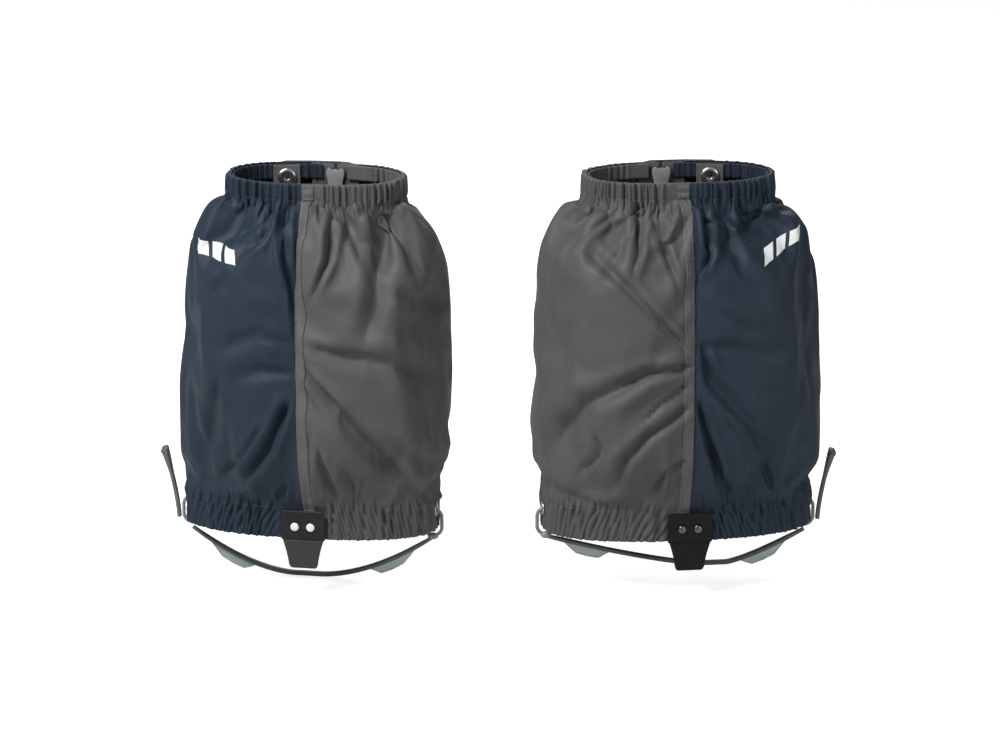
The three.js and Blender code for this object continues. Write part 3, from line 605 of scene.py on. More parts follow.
panel_rows = {}
for g in PAIR:
    for panel, finish in (("outer", navy_cloth), ("inner", grey_cloth)):
        points = settled[g["name"], panel]
        row_number = np.arange(FINE_ROWS + 1)
        kept = np.clip(np.minimum(row_number, row_number[::-1]) / 8, 0, 1)[:, None]
        # Creases sharper than the cloth could hold are eased, except close to the two hems.
        for k in range(EASING_PASSES):
            smooth = points.copy()
            smooth[:, 1:-1] = (points[:, :-2] + 2 * points[:, 1:-1] + points[:, 2:]) / 4
            if k % 4 == 0:
                smooth[1:-1, 1:-1] = (smooth[:-2, 1:-1] + 2 * smooth[1:-1, 1:-1] + smooth[2:, 1:-1]) / 4
            points = points + (smooth - points) * kept[..., None]
        across_step = np.gradient(points, axis=1)
        up_step = np.gradient(points, axis=0)
        outwards = np.cross(across_step, up_step)
        outwards /= np.linalg.norm(outwards, axis=2, keepdims=True) + 1e-12
        run = np.concatenate([[0], np.cumsum(np.linalg.norm(np.diff(points.mean(axis=1), axis=0), axis=1))])
        from_seam = np.abs(points[..., 0] - SEAM_X)
        clear = np.clip(from_seam / 5, 0, 1) * np.clip(np.minimum(run, run[-1] - run) / 13, 0, 1)[:, None]
        press_folds(g, panel, points, outwards, clear)
        for top, from_hem in ((False, run), (True, run[-1] - run)):
            for i in range(FINE_COLUMNS + 1):
                across = i / FINE_COLUMNS
                hem = Vector(points[-1 if top else 0, i])
                free = calm(g, panel, hem, top)
                for j in range(FINE_ROWS + 1):
                    if from_hem[j] > 26:
                        continue
                    height, turn = ruffle(g, panel, across, top, -from_hem[j] * 0.6)
                    reach = 7 + 17 * abs(unrest(math.floor(turn) * 1.37, g["seed"], 4 + top))
                    points[j, i] += outwards[j, i] * height * free * (1 - ease(from_hem[j], 0, reach))
        # Beside the zip the cloth is sewn flat over the tapes, so it never dips below them.
        for j in range(FINE_ROWS + 1):
            for i in range(FINE_COLUMNS + 1):
                x, y, z = points[j, i]
                if y > 0 and abs(x - ZIP_X) < 18:
                    points[j, i, 1] = max(y, wall(g, z, back_angle(g, z, x)).y - 0.6)
        body = [[Vector(p) for p in row] for row in points]
        below, above = hem_rows(g, panel, False), hem_rows(g, panel, True)
        rows = below[::-1] + body + above
        panel_rows[g["name"], panel] = (rows, len(below), len(above))
        _, _, width, length = loose_sheets[g["name"], panel]
        levels = [0.0]
        for here, there in zip(rows, rows[1:]):
            levels.append(levels[-1] + (there[len(there) // 2] - here[len(here) // 2]).length)
        bm = cloth_mesh(rows, levels, width)
        side = -1 if panel == "outer" else 1
        a, _, x0, _ = section(g, 13)
        eyelet = Vector((x0 + side * a, 0, 13))
        bmesh.ops.delete(bm, context="FACES", geom=[f for f in bm.faces
                         if (f.calc_center_median() - eyelet).length < 3.9])
        piece = place(g, bm, f"{panel}_panel_cloth", "cloth", [f"{panel}_panel"],
                      "navy_fabric" if panel == "outer" else "grey_fabric", finish)
        ply = piece.modifiers.new("ply", "SOLIDIFY")
        ply.thickness = CLOTH * MM
        ply.offset = -1

# ---- hem facings and elastic -----------------------------------------------------------------------
# Each hem is the panel's own edge turned in over a band of knitted elastic and stitched down, so a second
# layer of the same cloth lines it. The elastic stops short of the zip, where it is caught in the seam.
navy_lining = cloth_finish("navy_lining", (0.017, 0.027, 0.044), (0.01, 0.016, 0.027))
grey_lining = cloth_finish("grey_lining", (0.115, 0.113, 0.111), (0.07, 0.07, 0.07))
knit = cloth_finish("elastic_knit", (0.012, 0.013, 0.015), (0.006, 0.006, 0.007), threads=5200, bump=0.6)

for g in PAIR:
    for top in (False, True):
        hem = "top" if top else "bottom"
        for panel, finish in (("outer", navy_lining), ("inner", grey_lining)):
            levels = ([223.2, 224.5, 226, 227.6, 229.2, 230.8, 232.2, 233.1] if top
                      else [0.9, 2.5, 4.5, 6.5, 8.2, 9.4, 10.4, 11.3, 12.2, 13, 13.8, 14.7, 15.6, 16.6, 18, 19.5,
                            20.8])
            rows = []
            for z in levels:
                start, end = panel_edges(g, panel, z)
                if panel == "outer":
                    start = back_angle(g, z, ZIP_X - 8.5)
                else:
                    end = back_angle(g, z, ZIP_X + 8.5)
                angles, girth = even_row(g, z, start, end, FINE_COLUMNS)
                rows.append([hem_point(g, panel, i / FINE_COLUMNS, angle, z, top, -2.95, 0.4)
                             for i, angle in enumerate(angles)])
            bm = cloth_mesh(rows, levels, girth * 1.25)
            if not top:
                side = -1 if panel == "outer" else 1
                a, _, x0, _ = section(g, 13)
                eyelet = Vector((x0 + side * (a - 3), 0, 13))
                bmesh.ops.delete(bm, context="FACES", geom=[f for f in bm.faces
                                 if (f.calc_center_median() - eyelet).length < 3.9])
            piece = place(g, bm, f"{panel}_{hem}_facing", "cloth",
                          [f"{hem}_hem_facing"] if panel == "outer" else [], "facing", finish)
            ply = piece.modifiers.new("ply", "SOLIDIFY")
            ply.thickness = CLOTH * MM
            ply.offset = -1
        low_z, high_z = (224.5, 232.5) if top else (1.5, 7.0)
        rows = []
        levels = [low_z + (high_z - low_z) * j / 4 for j in range(5)]
        for z in levels:
            angles, girth = even_row(g, z, back_angle(g, z, ZIP_X - 16.3),
                                     back_angle(g, z, ZIP_X + 16.3) + 2 * math.pi, 180)
            rows.append([wall(g, z, angle, -1.75) for angle in angles])
        bm = cloth_mesh(rows, levels, girth)
        piece = place(g, bm, f"{hem}_elastic_band", "cloth", [f"{hem}_elastic"], "elastic", knit)
        ply = piece.modifiers.new("ply", "SOLIDIFY")
        ply.thickness = 0.7 * MM
        ply.offset = -1

# ---- stitching -------------------------------------------------------------------------------------
# Every seam is lockstitched with a bonded polyester thread. Each stitch shows as one short plump
# length of thread that dips into the cloth at both ends.
STITCH, STITCH_GAP, THREAD = 2.3, 0.55, 0.24


def stitched(g, name, slot, finish, runs, body="cloth"):
    """One object of all the stitches along some runs of (point, outward) pairs."""
    shape = bmesh.new()
    bmesh.ops.create_uvsphere(shape, u_segments=6, v_segments=5, radius=1)
    bmesh.ops.rotate(shape, verts=shape.verts, matrix=Matrix.Rotation(math.pi / 2, 3, "Y"))
    one = bpy.data.meshes.new("one_stitch")
    shape.to_mesh(one)
    shape.free()
    bm = bmesh.new()
    for run in runs:
        travelled, due = 0.0, STITCH_GAP
        for (here, out), (there, _) in zip(run, run[1:]):
            step = (there - here).length
            while due <= travelled + step and step > 1e-6:
                spot = here.lerp(there, (due - travelled) / step)
                along = (there - here).normalized()
                up = (out - along * out.dot(along)).normalized()
                turn = Matrix((along, up.cross(along), up)).transposed()
                first = len(bm.verts)
                bm.from_mesh(one)
                bm.verts.ensure_lookup_table()
                scale = Matrix.Diagonal((STITCH / 2, THREAD, THREAD))
                for vert in bm.verts[first:]:
                    vert.co = spot + up * 0.08 + turn @ (scale @ vert.co)
                due += STITCH + STITCH_GAP
            travelled += step
    bpy.data.meshes.remove(one)
    return place(g, bm, name, body, [], slot, finish)


twist_group, twist_in, twist_out = new_group(
    "thread_twist",
    [("Coordinates", "NodeSocketVector", None), ("Colour", "NodeSocketColor", (0.1, 0.1, 0.1, 1)),
     ("Shaded Colour", "NodeSocketColor", (0.05, 0.05, 0.05, 1))],
    [("Colour", "NodeSocketColor")])
twist = twist_group.nodes.new("ShaderNodeTexNoise")
twist.inputs["Scale"].default_value = 2500
twist_group.links.new(twist_in.outputs["Coordinates"], twist.inputs["Vector"])
twist_shade = twist_group.nodes.new("ShaderNodeMix")
twist_shade.data_type = "RGBA"
twist_group.links.new(twist_in.outputs["Colour"], twist_shade.inputs["A"])
twist_group.links.new(twist_in.outputs["Shaded Colour"], twist_shade.inputs["B"])
twist_group.links.new(twist.outputs["Fac"], twist_shade.inputs["Factor"])
twist_group.links.new(twist_shade.outputs["Result"], twist_out.inputs["Colour"])


def thread_finish(name, colour):
    finish, shader = grouped_finish(
        name, twist_group, {"Colour": (*colour, 1), "Shaded Colour": (*(c * 0.45 for c in colour), 1)})
    shader.inputs["Sheen Weight"].default_value = 0.2
    shader.inputs["Roughness"].default_value = 0.6
    return finish


navy_thread = thread_finish("navy_thread", (0.03, 0.045, 0.066))
grey_thread = thread_finish("grey_thread", (0.14, 0.14, 0.138))


def outward(rows, j, i):
    stride = len(rows[0]) - 1
    across = rows[j][min(i + 1, stride)] - rows[j][max(i - 1, 0)]
    up = rows[min(j + 1, len(rows) - 1)][i] - rows[max(j - 1, 0)][i]
    return across.cross(up).normalized()


def along_row(row, distance, from_end=False):
    """A place some millimetres along a row of points: the column before it and the share past it."""
    columns = range(len(row) - 1, 0, -1) if from_end else range(len(row) - 1)
    step = -1 if from_end else 1
    for i in columns:
        length = (row[i + step] - row[i]).length
        if distance <= length:
            return i, step, distance / length
        distance -= length
    raise ValueError("the row is shorter than that")


for g in PAIR:
    for panel, finish in (("outer", navy_thread), ("inner", grey_thread)):
        rows, below, above = panel_rows[g["name"], panel]
        zip_end = panel == "inner"
        by_zip = []
        for j in range(1, len(rows) - 4):
            i, step, share = along_row(rows[j], 2.2, zip_end)
            by_zip.append((rows[j][i].lerp(rows[j][i + step], share), outward(rows, j, i)))
        round_hems = []
        for j in (below, len(rows) - above - 1):
            round_hems.append([(rows[j][i], outward(rows, j, i)) for i in range(2, len(rows[j]) - 2)])
        stitched(g, f"{panel}_panel_stitching", "navy_fabric" if panel == "outer" else "grey_fabric", finish,
                 [by_zip, *round_hems])

# ---- front seam ------------------------------------------------------------------------------------
# The seam down the front is covered by a strip of the grey cloth, turned under at both edges and
# topstitched. The thread draws it up a little, so it puckers between the stitches.
seam_cloth = cloth_finish("seam_strip_cloth", (0.105, 0.105, 0.105), (0.066, 0.066, 0.067))

for g in PAIR:
    rows, below, above = panel_rows[g["name"], "inner"]
    across = [0.0, 0.25, 0.9, 1.7, 2.8, 4, 5.2, 6.2, 7.0, 7.6, 7.85]
    rise = [0.0, 0.55, 0.75, 0.55, 0.8, 0.85, 0.8, 0.55, 0.75, 0.55, 0.0]
    strip, edges = [], ([], [])
    climb = 0.0
    levels = []
    for j in range(4, len(rows) - 4):
        climb += (rows[j][0] - rows[j - 1][0]).length
        levels.append(climb)
        pucker = (0.35 * math.sin(climb * 1.15 + 2.2 * unrest(climb * 0.11, g["seed"], 3))
                  + 0.25 * unrest(climb * 0.45, g["seed"], 8))
        strip.append([])
        for k, (distance, lift) in enumerate(zip(across, rise)):
            i, step, share = along_row(rows[j], distance + 0.02)
            out = outward(rows, j, i + 1)
            lean = 0.3 * unrest(climb * 0.2, k * 0.35, g["seed"])
            middle = math.sin(math.pi * k / (len(across) - 1))
            spot = rows[j][i].lerp(rows[j][i + 1], share) + out * (0.1 + lift + middle * (pucker + lean))
            strip[-1].append(spot)
            if k in (3, 7):
                edges[k == 7].append((spot, out))
    bm = cloth_mesh(strip, levels, 8)
    piece = place(g, bm, "front_seam_strip", "cloth", ["front_seam_tape"], "seam_tape", seam_cloth)
    ply = piece.modifiers.new("ply", "SOLIDIFY")
    ply.thickness = 0.35 * MM
    ply.offset = -1
    stitched(g, "front_seam_stitching", "seam_tape", grey_thread, edges)

# ---- zip -------------------------------------------------------------------------------------------
# A coil zip runs the full height of the back. Its woven tapes are sewn under the panels' turned edges,
# and the nylon coil on each is made of one loop after another, which mesh as the slider passes.
tape_cloth = cloth_finish("zip_tape_cloth", (0.075, 0.075, 0.076), (0.045, 0.045, 0.046), threads=6500,
                          bump=0.5)


grain_group, grain_in, grain_out = new_group(
    "moulded_grain",
    [("Coordinates", "NodeSocketVector", None), ("Colour", "NodeSocketColor", (0.1, 0.1, 0.1, 1)),
     ("Worn Colour", "NodeSocketColor", (0.15, 0.15, 0.15, 1)), ("Smoothest", "NodeSocketFloat", 0.3),
     ("Roughest", "NodeSocketFloat", 0.5)],
    [("Colour", "NodeSocketColor"), ("Height", "NodeSocketFloat"), ("Roughness", "NodeSocketFloat")])
grain = grain_group.nodes.new("ShaderNodeTexNoise")
grain.inputs["Scale"].default_value = 1400
grain.inputs["Detail"].default_value = 6
scuff = grain_group.nodes.new("ShaderNodeTexNoise")
scuff.inputs["Scale"].default_value = 130
scuff.inputs["Detail"].default_value = 4
for texture in (grain, scuff):
    grain_group.links.new(grain_in.outputs["Coordinates"], texture.inputs["Vector"])
worn = grain_group.nodes.new("ShaderNodeMix")
worn.data_type = "RGBA"
grain_group.links.new(grain_in.outputs["Colour"], worn.inputs["A"])
grain_group.links.new(grain_in.outputs["Worn Colour"], worn.inputs["B"])
grain_group.links.new(scuff.outputs["Fac"], worn.inputs["Factor"])
grain_group.links.new(worn.outputs["Result"], grain_out.inputs["Colour"])
grain_rough = grain_group.nodes.new("ShaderNodeMapRange")
grain_group.links.new(grain_in.outputs["Smoothest"], grain_rough.inputs["To Min"])
grain_group.links.new(grain_in.outputs["Roughest"], grain_rough.inputs["To Max"])
grain_group.links.new(grain.outputs["Fac"], grain_rough.inputs["Value"])
grain_group.links.new(grain_rough.outputs["Result"], grain_out.inputs["Roughness"])
grain_group.links.new(grain.outputs["Fac"], grain_out.inputs["Height"])

pitted_group, pitted_in, pitted_out = new_group(
    "pitted_metal",
    [("Coordinates", "NodeSocketVector", None), ("Colour", "NodeSocketColor", (0.7, 0.7, 0.7, 1)),
     ("Pit Colour", "NodeSocketColor", (0.4, 0.4, 0.4, 1)), ("Smoothest", "NodeSocketFloat", 0.2),
     ("Roughest", "NodeSocketFloat", 0.4)],
    [("Colour", "NodeSocketColor"), ("Height", "NodeSocketFloat"), ("Roughness", "NodeSocketFloat")])
speck = pitted_group.nodes.new("ShaderNodeTexNoise")
speck.inputs["Scale"].default_value = 900
speck.inputs["Detail"].default_value = 8
speck.inputs["Roughness"].default_value = 0.7
smear = pitted_group.nodes.new("ShaderNodeTexNoise")
smear.inputs["Scale"].default_value = 220
for texture in (speck, smear):
    pitted_group.links.new(pitted_in.outputs["Coordinates"], texture.inputs["Vector"])
clear_metal = pitted_group.nodes.new("ShaderNodeMapRange")
clear_metal.inputs["From Min"].default_value = 0.36
clear_metal.inputs["From Max"].default_value = 0.47
pitted_group.links.new(speck.outputs["Fac"], clear_metal.inputs["Value"])
pitted = pitted_group.nodes.new("ShaderNodeMix")
pitted.data_type = "RGBA"
pitted_group.links.new(pitted_in.outputs["Pit Colour"], pitted.inputs["A"])
pitted_group.links.new(pitted_in.outputs["Colour"], pitted.inputs["B"])
pitted_group.links.new(clear_metal.outputs["Result"], pitted.inputs["Factor"])
pitted_group.links.new(pitted.outputs["Result"], pitted_out.inputs["Colour"])
pitted_rough = pitted_group.nodes.new("ShaderNodeMapRange")
pitted_group.links.new(pitted_in.outputs["Smoothest"], pitted_rough.inputs["To Min"])
pitted_group.links.new(pitted_in.outputs["Roughest"], pitted_rough.inputs["To Max"])
pitted_group.links.new(smear.outputs["Fac"], pitted_rough.inputs["Value"])
pitted_group.links.new(pitted_rough.outputs["Result"], pitted_out.inputs["Roughness"])
pitted_group.links.new(speck.outputs["Fac"], pitted_out.inputs["Height"])


def plastic_finish(name, colour, rough, wear=0.25, bump=0.12):
    worn_colour = (*(min(c * (1 + 2 * wear) + 0.01 * wear, 1) for c in colour), 1)
    return grouped_finish(name, grain_group, {"Colour": (*colour, 1), "Worn Colour": worn_colour,
                                              "Smoothest": rough - 0.1, "Roughest": rough + 0.1},
                          bump=bump)[0]


def metal_finish(name, colour, rough, pits):
    finish, shader = grouped_finish(name, pitted_group, {"Colour": (*colour, 1), "Pit Colour": (*pits, 1),
                                                         "Smoothest": rough - 0.08, "Roughest": rough + 0.12},
                                    bump=0.15)
    shader.inputs["Metallic"].default_value = 1
    return finish


coil_plastic = plastic_finish("zip_coil_nylon", (0.03, 0.031, 0.033), 0.38)
slider_metal = plastic_finish("slider_enamel", (0.2, 0.215, 0.222), 0.42, wear=0.1)
nickel = metal_finish("brushed_nickel", (0.72, 0.73, 0.72), 0.3, (0.4, 0.4, 0.39))
gunmetal = metal_finish("gunmetal", (0.16, 0.155, 0.15), 0.28, (0.06, 0.06, 0.06))


def rounded(bm, width, segments=2):
    """Breaks every sharp edge of a hard piece and turns its faces outwards."""
    sharp = [e for e in bm.edges if e.is_manifold and e.calc_face_angle(0) > 0.5]
    bmesh.ops.bevel(bm, geom=sharp, offset=width, offset_type="OFFSET", affect="EDGES", segments=segments,
                    profile=0.5, material=-1, clamp_overlap=True)
    bmesh.ops.recalc_face_normals(bm, faces=bm.faces)
    return bm


def cut_out(outline, thickness, axis="Y"):
    """A flat piece from its outline in X and Z, thickness deep towards +Y from Y 0."""
    bm = bmesh.new()
    face = bm.faces.new([bm.verts.new((x, 0, z)) for x, z in outline])
    deep = bmesh.ops.extrude_face_region(bm, geom=[face])
    moved = [v for v in deep["geom"] if isinstance(v, bmesh.types.BMVert)]
    bmesh.ops.translate(bm, verts=moved, vec=(0, thickness, 0))
    bmesh.ops.recalc_face_normals(bm, faces=bm.faces)
    return bm


def merge_into(bm, other):
    spare = bpy.data.meshes.new("spare")
    other.to_mesh(spare)
    other.free()
    bm.from_mesh(spare)
    bpy.data.meshes.remove(spare)
    return bm


TOOTH_PITCH, COIL_LOW, COIL_TOP = 1.3, 6.6, 230.6
SLIDER_Z = 223.5
shape = bmesh.new()
bmesh.ops.create_uvsphere(shape, u_segments=8, v_segments=6, radius=1)
bmesh.ops.rotate(shape, verts=shape.verts, matrix=Matrix.Rotation(math.pi / 2, 3, "Y"))
for vert in shape.verts:
    vert.co.x = math.copysign(abs(vert.co.x) ** 0.6, vert.co.x)
one_tooth = bpy.data.meshes.new("one_tooth")
shape.to_mesh(one_tooth)
shape.free()
for g in PAIR:
    back = g["hem"][1]
    for side, panel in ((-1, "outer"), (1, "inner")):
        near, far = sorted((ZIP_X + side * 0.95, ZIP_X + side * 15.9))
        rows = []
        levels = [0.4 + 233.2 * j / 60 for j in range(61)]
        for z in levels:
            rows.append([wall(g, z, back_angle(g, z, far + (near - far) * i / 14), -1.5
                         - 0.12 * (i in (2, 12)) + 0.1 * unrest(i * 0.4, z * 0.06, g["seed"]))
                         for i in range(15)])
        bm = cloth_mesh(rows, levels, 15)
        piece = place(g, bm, f"zip_tape_{panel}_weave", "cloth", [f"zip_tape_{panel}"], "zip_tape",
                      tape_cloth)
        ply = piece.modifiers.new("ply", "SOLIDIFY")
        ply.thickness = 0.6 * MM
        ply.offset = -1
        bm = bmesh.new()
        count = int((COIL_TOP - COIL_LOW) / TOOTH_PITCH)
        for k in range(count):
            z = COIL_LOW + (k + (0.5 if side > 0 else 0)) * TOOTH_PITCH
            shut = z < SLIDER_Z - 3
            reach = 0.45 if shut else -0.9
            first = len(bm.verts)
            bm.from_mesh(one_tooth)
            bm.verts.ensure_lookup_table()
            half = (3.05 + reach) / 2
            middle = ZIP_X + side * (3.05 - half)
            spot = wall(g, z, back_angle(g, z, ZIP_X), 0)
            for vert in bm.verts[first:]:
                vert.co = Vector((middle + half * vert.co.x, spot.y - 0.2 + 0.95 * vert.co.y,
                                  z + 0.5 * vert.co.z + side * 0.12 * vert.co.x))
        place(g, bm, f"zip_coil_{panel}_loops", "cloth", [f"zip_coil_{panel}"], "zip_coil", coil_plastic)
        run = []
        for z in np.arange(3, 231, 1.0):
            angle = back_angle(g, z, ZIP_X + side * 2.6)
            run.append((wall(g, z, angle, 0.55), (wall(g, z, angle, 1) - wall(g, z, angle)).normalized()))
        stitched(g, f"zip_coil_{panel}_stitching", "zip_tape", grey_thread, [run])
    bm = bmesh.new()
    bmesh.ops.create_cube(bm, size=1)
    bmesh.ops.scale(bm, verts=bm.verts, vec=(6.6, 2.4, 3.2))
    bmesh.ops.subdivide_edges(bm, edges=[e for e in bm.edges if abs(e.verts[0].co.x - e.verts[1].co.x) > 1],
                              cuts=4, use_grid_fill=True)
    for vert in bm.verts:
        if abs(vert.co.x) < 2:
            vert.co.y *= 0.72
    rounded(bm, 0.3)
    bmesh.ops.translate(bm, verts=bm.verts, vec=(ZIP_X, back - 0.2, 4.3))
    place(g, bm, "zip_bottom_staple", "cloth", ["zip_bottom_stop"], "zip_metal", nickel)
bpy.data.meshes.remove(one_tooth)

# The slider is a die-cast pair of shields joined by a post, with a bridge over the outer one. The
# puller hangs from the bridge: a flat tab with a window at the top and grip ridges near its end.
W, H = 5.0, 6.5
shield = [(-0.72, -1), (0.72, -1), (0.76, -0.6), (0.8, -0.2), (0.9, 0.1), (1, 0.4), (1.0, 0.62), (0.9, 0.84),
          (0.72, 0.95), (0.55, 0.9), (0.4, 0.78), (0.18, 0.8), (0, 0.86), (-0.18, 0.8), (-0.4, 0.78),
          (-0.55, 0.9), (-0.72, 0.95), (-0.9, 0.84), (-1.0, 0.62), (-1, 0.4), (-0.9, 0.1), (-0.8, -0.2),
          (-0.76, -0.6)]
for g in PAIR:
    back = g["hem"][1]
    bm = bmesh.new()
    for foot, wider in ((1.2, 1), (-4.7, 1.22)):
        plate = rounded(cut_out([(x * W * wider, z * H * wider) for x, z in shield], 1.2), 0.28)
        bmesh.ops.translate(plate, verts=plate.verts, vec=(0, foot, 0))
        merge_into(bm, plate)
    post = bmesh.new()
    bmesh.ops.create_cube(post, size=1)
    bmesh.ops.scale(post, verts=post.verts, vec=(1.2, 5.0, 4.4))
    bmesh.ops.translate(post, verts=post.verts, vec=(0, -1.2, 2.7))
    merge_into(bm, rounded(post, 0.25))
    bridge = bmesh.new()
    ring = [bridge.verts.new((-1, y, z)) for y, z in ((2.3, -6.0), (3.9, -5.9), (4.75, -5.1), (4.75, -1.9),
            (3.9, -1.1), (2.3, -1.0), (2.3, -1.9), (3.5, -2.0), (4.0, -2.5), (4.0, -4.5), (3.5, -5.0),
            (2.3, -5.1))]
    face = bridge.faces.new(ring)
    deep = bmesh.ops.extrude_face_region(bridge, geom=[face])
    bmesh.ops.translate(bridge, verts=[v for v in deep["geom"] if isinstance(v, bmesh.types.BMVert)],
                        vec=(2, 0, 0))
    bmesh.ops.recalc_face_normals(bridge, faces=bridge.faces)
    merge_into(bm, rounded(bridge, 0.2))
    bmesh.ops.translate(bm, verts=bm.verts, vec=(ZIP_X, back, SLIDER_Z))
    place(g, bm, "zip_slider_shields", "slider", ["zip_slider"], "zip_metal", slider_metal)

    puller = cut_out([(-2.6, 0.5), (2.6, 0.5), (3.2, -3), (3.2, -6), (2.5, -9), (2.5, -23), (1.7, -26),
                      (-1.7, -26), (-2.5, -23), (-2.5, -9), (-3.2, -6), (-3.2, -3)], 1.0)
    bmesh.ops.translate(puller, verts=puller.verts, vec=(0, -0.5, 0))
    for face in [f for f in puller.faces if abs(f.normal.y) > 0.9]:
        bmesh.ops.inset_region(puller, faces=[face], thickness=0.55, depth=-0.22)
    rounded(puller, 0.16)
    for k in range(5):
        ridge = bmesh.new()
        bmesh.ops.create_uvsphere(ridge, u_segments=12, v_segments=8, radius=1)
        bmesh.ops.scale(ridge, verts=ridge.verts, vec=(1.7, 0.5, 0.42))
        bmesh.ops.translate(ridge, verts=ridge.verts, vec=(0, 0, -13.5 - 2.1 * k))
        merge_into(puller, ridge)
    bmesh.ops.translate(puller, verts=puller.verts, vec=(ZIP_X, back + 3.7, SLIDER_Z - 3.5))
    place(g, puller, "zip_puller_tab", "puller", ["zip_puller"], "zip_metal", slider_metal)

# ---- closing tab and press stud --------------------------------------------------------------------
# A tab of coated webbing is sewn beside the zip, arches over the slider and snaps onto a press stud. Its
# cap and socket grip the tab, and the stud's riveted ring shows inside, on a small patch of grey cloth.
coated = plastic_finish("coated_webbing", (0.02, 0.021, 0.022), 0.5, wear=0.5, bump=0.3)
cap_enamel = plastic_finish("snap_cap_enamel", (0.035, 0.037, 0.038), 0.3, wear=0.2)
STUD_X, STUD_Z = -26.5, 224.5


def turned(profile, steps=44):
    """A piece turned on Z from a closed profile of (radius, height) points, faces outwards."""
    bm = bmesh.new()
    points = [bm.verts.new((r, 0, h)) for r, h in profile]
    rim = [bm.edges.new(pair) for pair in zip(points, points[1:])]
    if profile[0][0] > 0 or profile[-1][0] > 0:
        rim.append(bm.edges.new((points[-1], points[0])))
    bmesh.ops.spin(bm, geom=points + rim, cent=(0, 0, 0), axis=(0, 0, 1), dvec=(0, 0, 0), angle=2 * math.pi,
                   steps=steps, use_merge=True, use_duplicate=False)
    bmesh.ops.remove_doubles(bm, verts=bm.verts, dist=1e-4)
    bmesh.ops.recalc_face_normals(bm, faces=bm.faces)
    return bm


def stand(bm, foot, out):
    """Stands a turned piece on a point with its axis along a direction."""
    turn = Vector((0, 0, 1)).rotation_difference(out).to_matrix().to_4x4()
    bm.transform(Matrix.Translation(foot) @ turn)
    return bm


for g in PAIR:
    angle = back_angle(g, STUD_Z, STUD_X)
    foot = wall(g, HEIGHT, angle)
    foot.z = STUD_Z
    out = (wall(g, HEIGHT, angle, 1) - wall(g, HEIGHT, angle)).normalized()
    stud = turned([(0, 0.7), (5.0, 0.7), (5.2, 0.85), (5.1, 1.1), (4.2, 1.4), (2.0, 1.45), (1.75, 1.7), (1.7, 2.2),
                   (1.85, 2.7), (1.7, 3.05), (1.2, 3.3), (0, 3.35)])
    place(g, stand(stud, foot, out), "press_stud", "cloth", ["snap_stud"], "nickel", nickel)
    socket = turned([(2.7, 1.7), (4.6, 1.7), (5.3, 2.0), (5.5, 2.5), (5.5, 3.8), (5.3, 4.0), (2.7, 4.0),
                     (2.5, 3.6), (2.8, 3.1), (2.5, 2.5)])
    place(g, stand(socket, foot, out), "press_socket", "tab", ["snap_socket"], "nickel", nickel)
    cap = turned([(0, 5.6), (5.9, 5.6), (6.2, 5.75), (6.15, 6.0), (5.5, 6.5), (4.6, 6.75), (4.1, 6.7), (3.4, 6.85),
                  (1.8, 7.05), (0, 7.1)], 56)
    place(g, stand(cap, foot, out), "press_cap", "tab", ["snap_cap"], "snap_cap", cap_enamel)
    ring = turned([(1.5, -5.0), (6.0, -5.0), (6.1, -5.2), (6.0, -5.6), (5.3, -6.05), (4.6, -6.3), (3.2, -6.3),
                   (2.4, -6.15), (1.8, -6.1), (1.5, -5.9)], 56)
    place(g, stand(ring, foot, out), "press_ring", "cloth", ["snap_ring"], "nickel", nickel)

    rows, levels = [], []
    for j in range(19):
        z = 215.1 + 17.3 * j / 18
        levels.append(z)
        row = []
        for i in range(25):
            x = STUD_X + 9 - 18 * i / 24
            edge = min(i, 24 - i) * 0.75, min(j, 18 - j) * 0.96
            hem_line = 0.18 * (math.exp(-((min(edge) - 1.5) / 0.35) ** 2))
            row.append(wall(g, HEIGHT, back_angle(g, HEIGHT, x), -4.35 + hem_line
                            - 0.12 * unrest(i * 0.3, j * 0.3, g["seed"])))
            row[-1].z = z
        rows.append(row)
    bm = cloth_mesh(rows[::-1], levels, 18)
    piece = place(g, bm, "press_stud_patch", "cloth", ["snap_patch"], "facing", grey_lining)
    ply = piece.modifiers.new("ply", "SOLIDIFY")
    ply.thickness = 0.5 * MM
    ply.offset = -1

    # The tab's own outline: 9.5 mm of webbing that widens to a round paddle over the stud.
    rows, levels, sewn = [], [], ([], [])
    for i in range(61):
        x = 18 + (STUD_X - 8 + 0.15 - 18) * i / 60
        rise = 4.3 + (0.3 - 4.3) * ease(x, ZIP_X + 5, 18)
        widen = ease(-x, -STUD_X - 16, -STUD_X - 6)
        beyond = max(STUD_X - x, 0) / 8
        reach = math.sqrt(max(1 - beyond ** 2, 0))
        low = (233 - 9.5) * (1 - widen) + (STUD_Z - 8 * reach) * widen
        high = STUD_Z + 8.5 * reach if beyond > 0 else 233
        row = []
        for j in range(17):
            share = j / 16
            lip = 0.32 * (1 - min(min(j, 16 - j) / 1.2, 1)) + 0.32 * (1 - min(min(i, 60 - i) / 1.2, 1))
            crown = -0.22 * math.exp(-((min(j, 16 - j) - 2.3) / 0.7) ** 2)
            spot = wall(g, HEIGHT, back_angle(g, HEIGHT, x), rise + 1.0 - lip + crown * (beyond < 0.7))
            spot.z = low + (high - low) * share
            row.append(spot)
        rows.append(row)
        levels.append(i * 0.86)
        if 2 <= i <= 52:
            for k, j in enumerate((2, 14)):
                sewn[k].append((row[j], out))
    bm = cloth_mesh([list(column) for column in zip(*rows)], [10 * j / 16 for j in range(17)], 52)
    bmesh.ops.reverse_faces(bm, faces=bm.faces)
    piece = place(g, bm, "closing_tab_webbing", "tab", ["closing_tab"], "coated_fabric", coated)
    ply = piece.modifiers.new("ply", "SOLIDIFY")
    ply.thickness = 0.95 * MM
    ply.offset = -1
    stitched(g, "closing_tab_stitching", "coated_fabric", grey_thread, sewn, "tab")

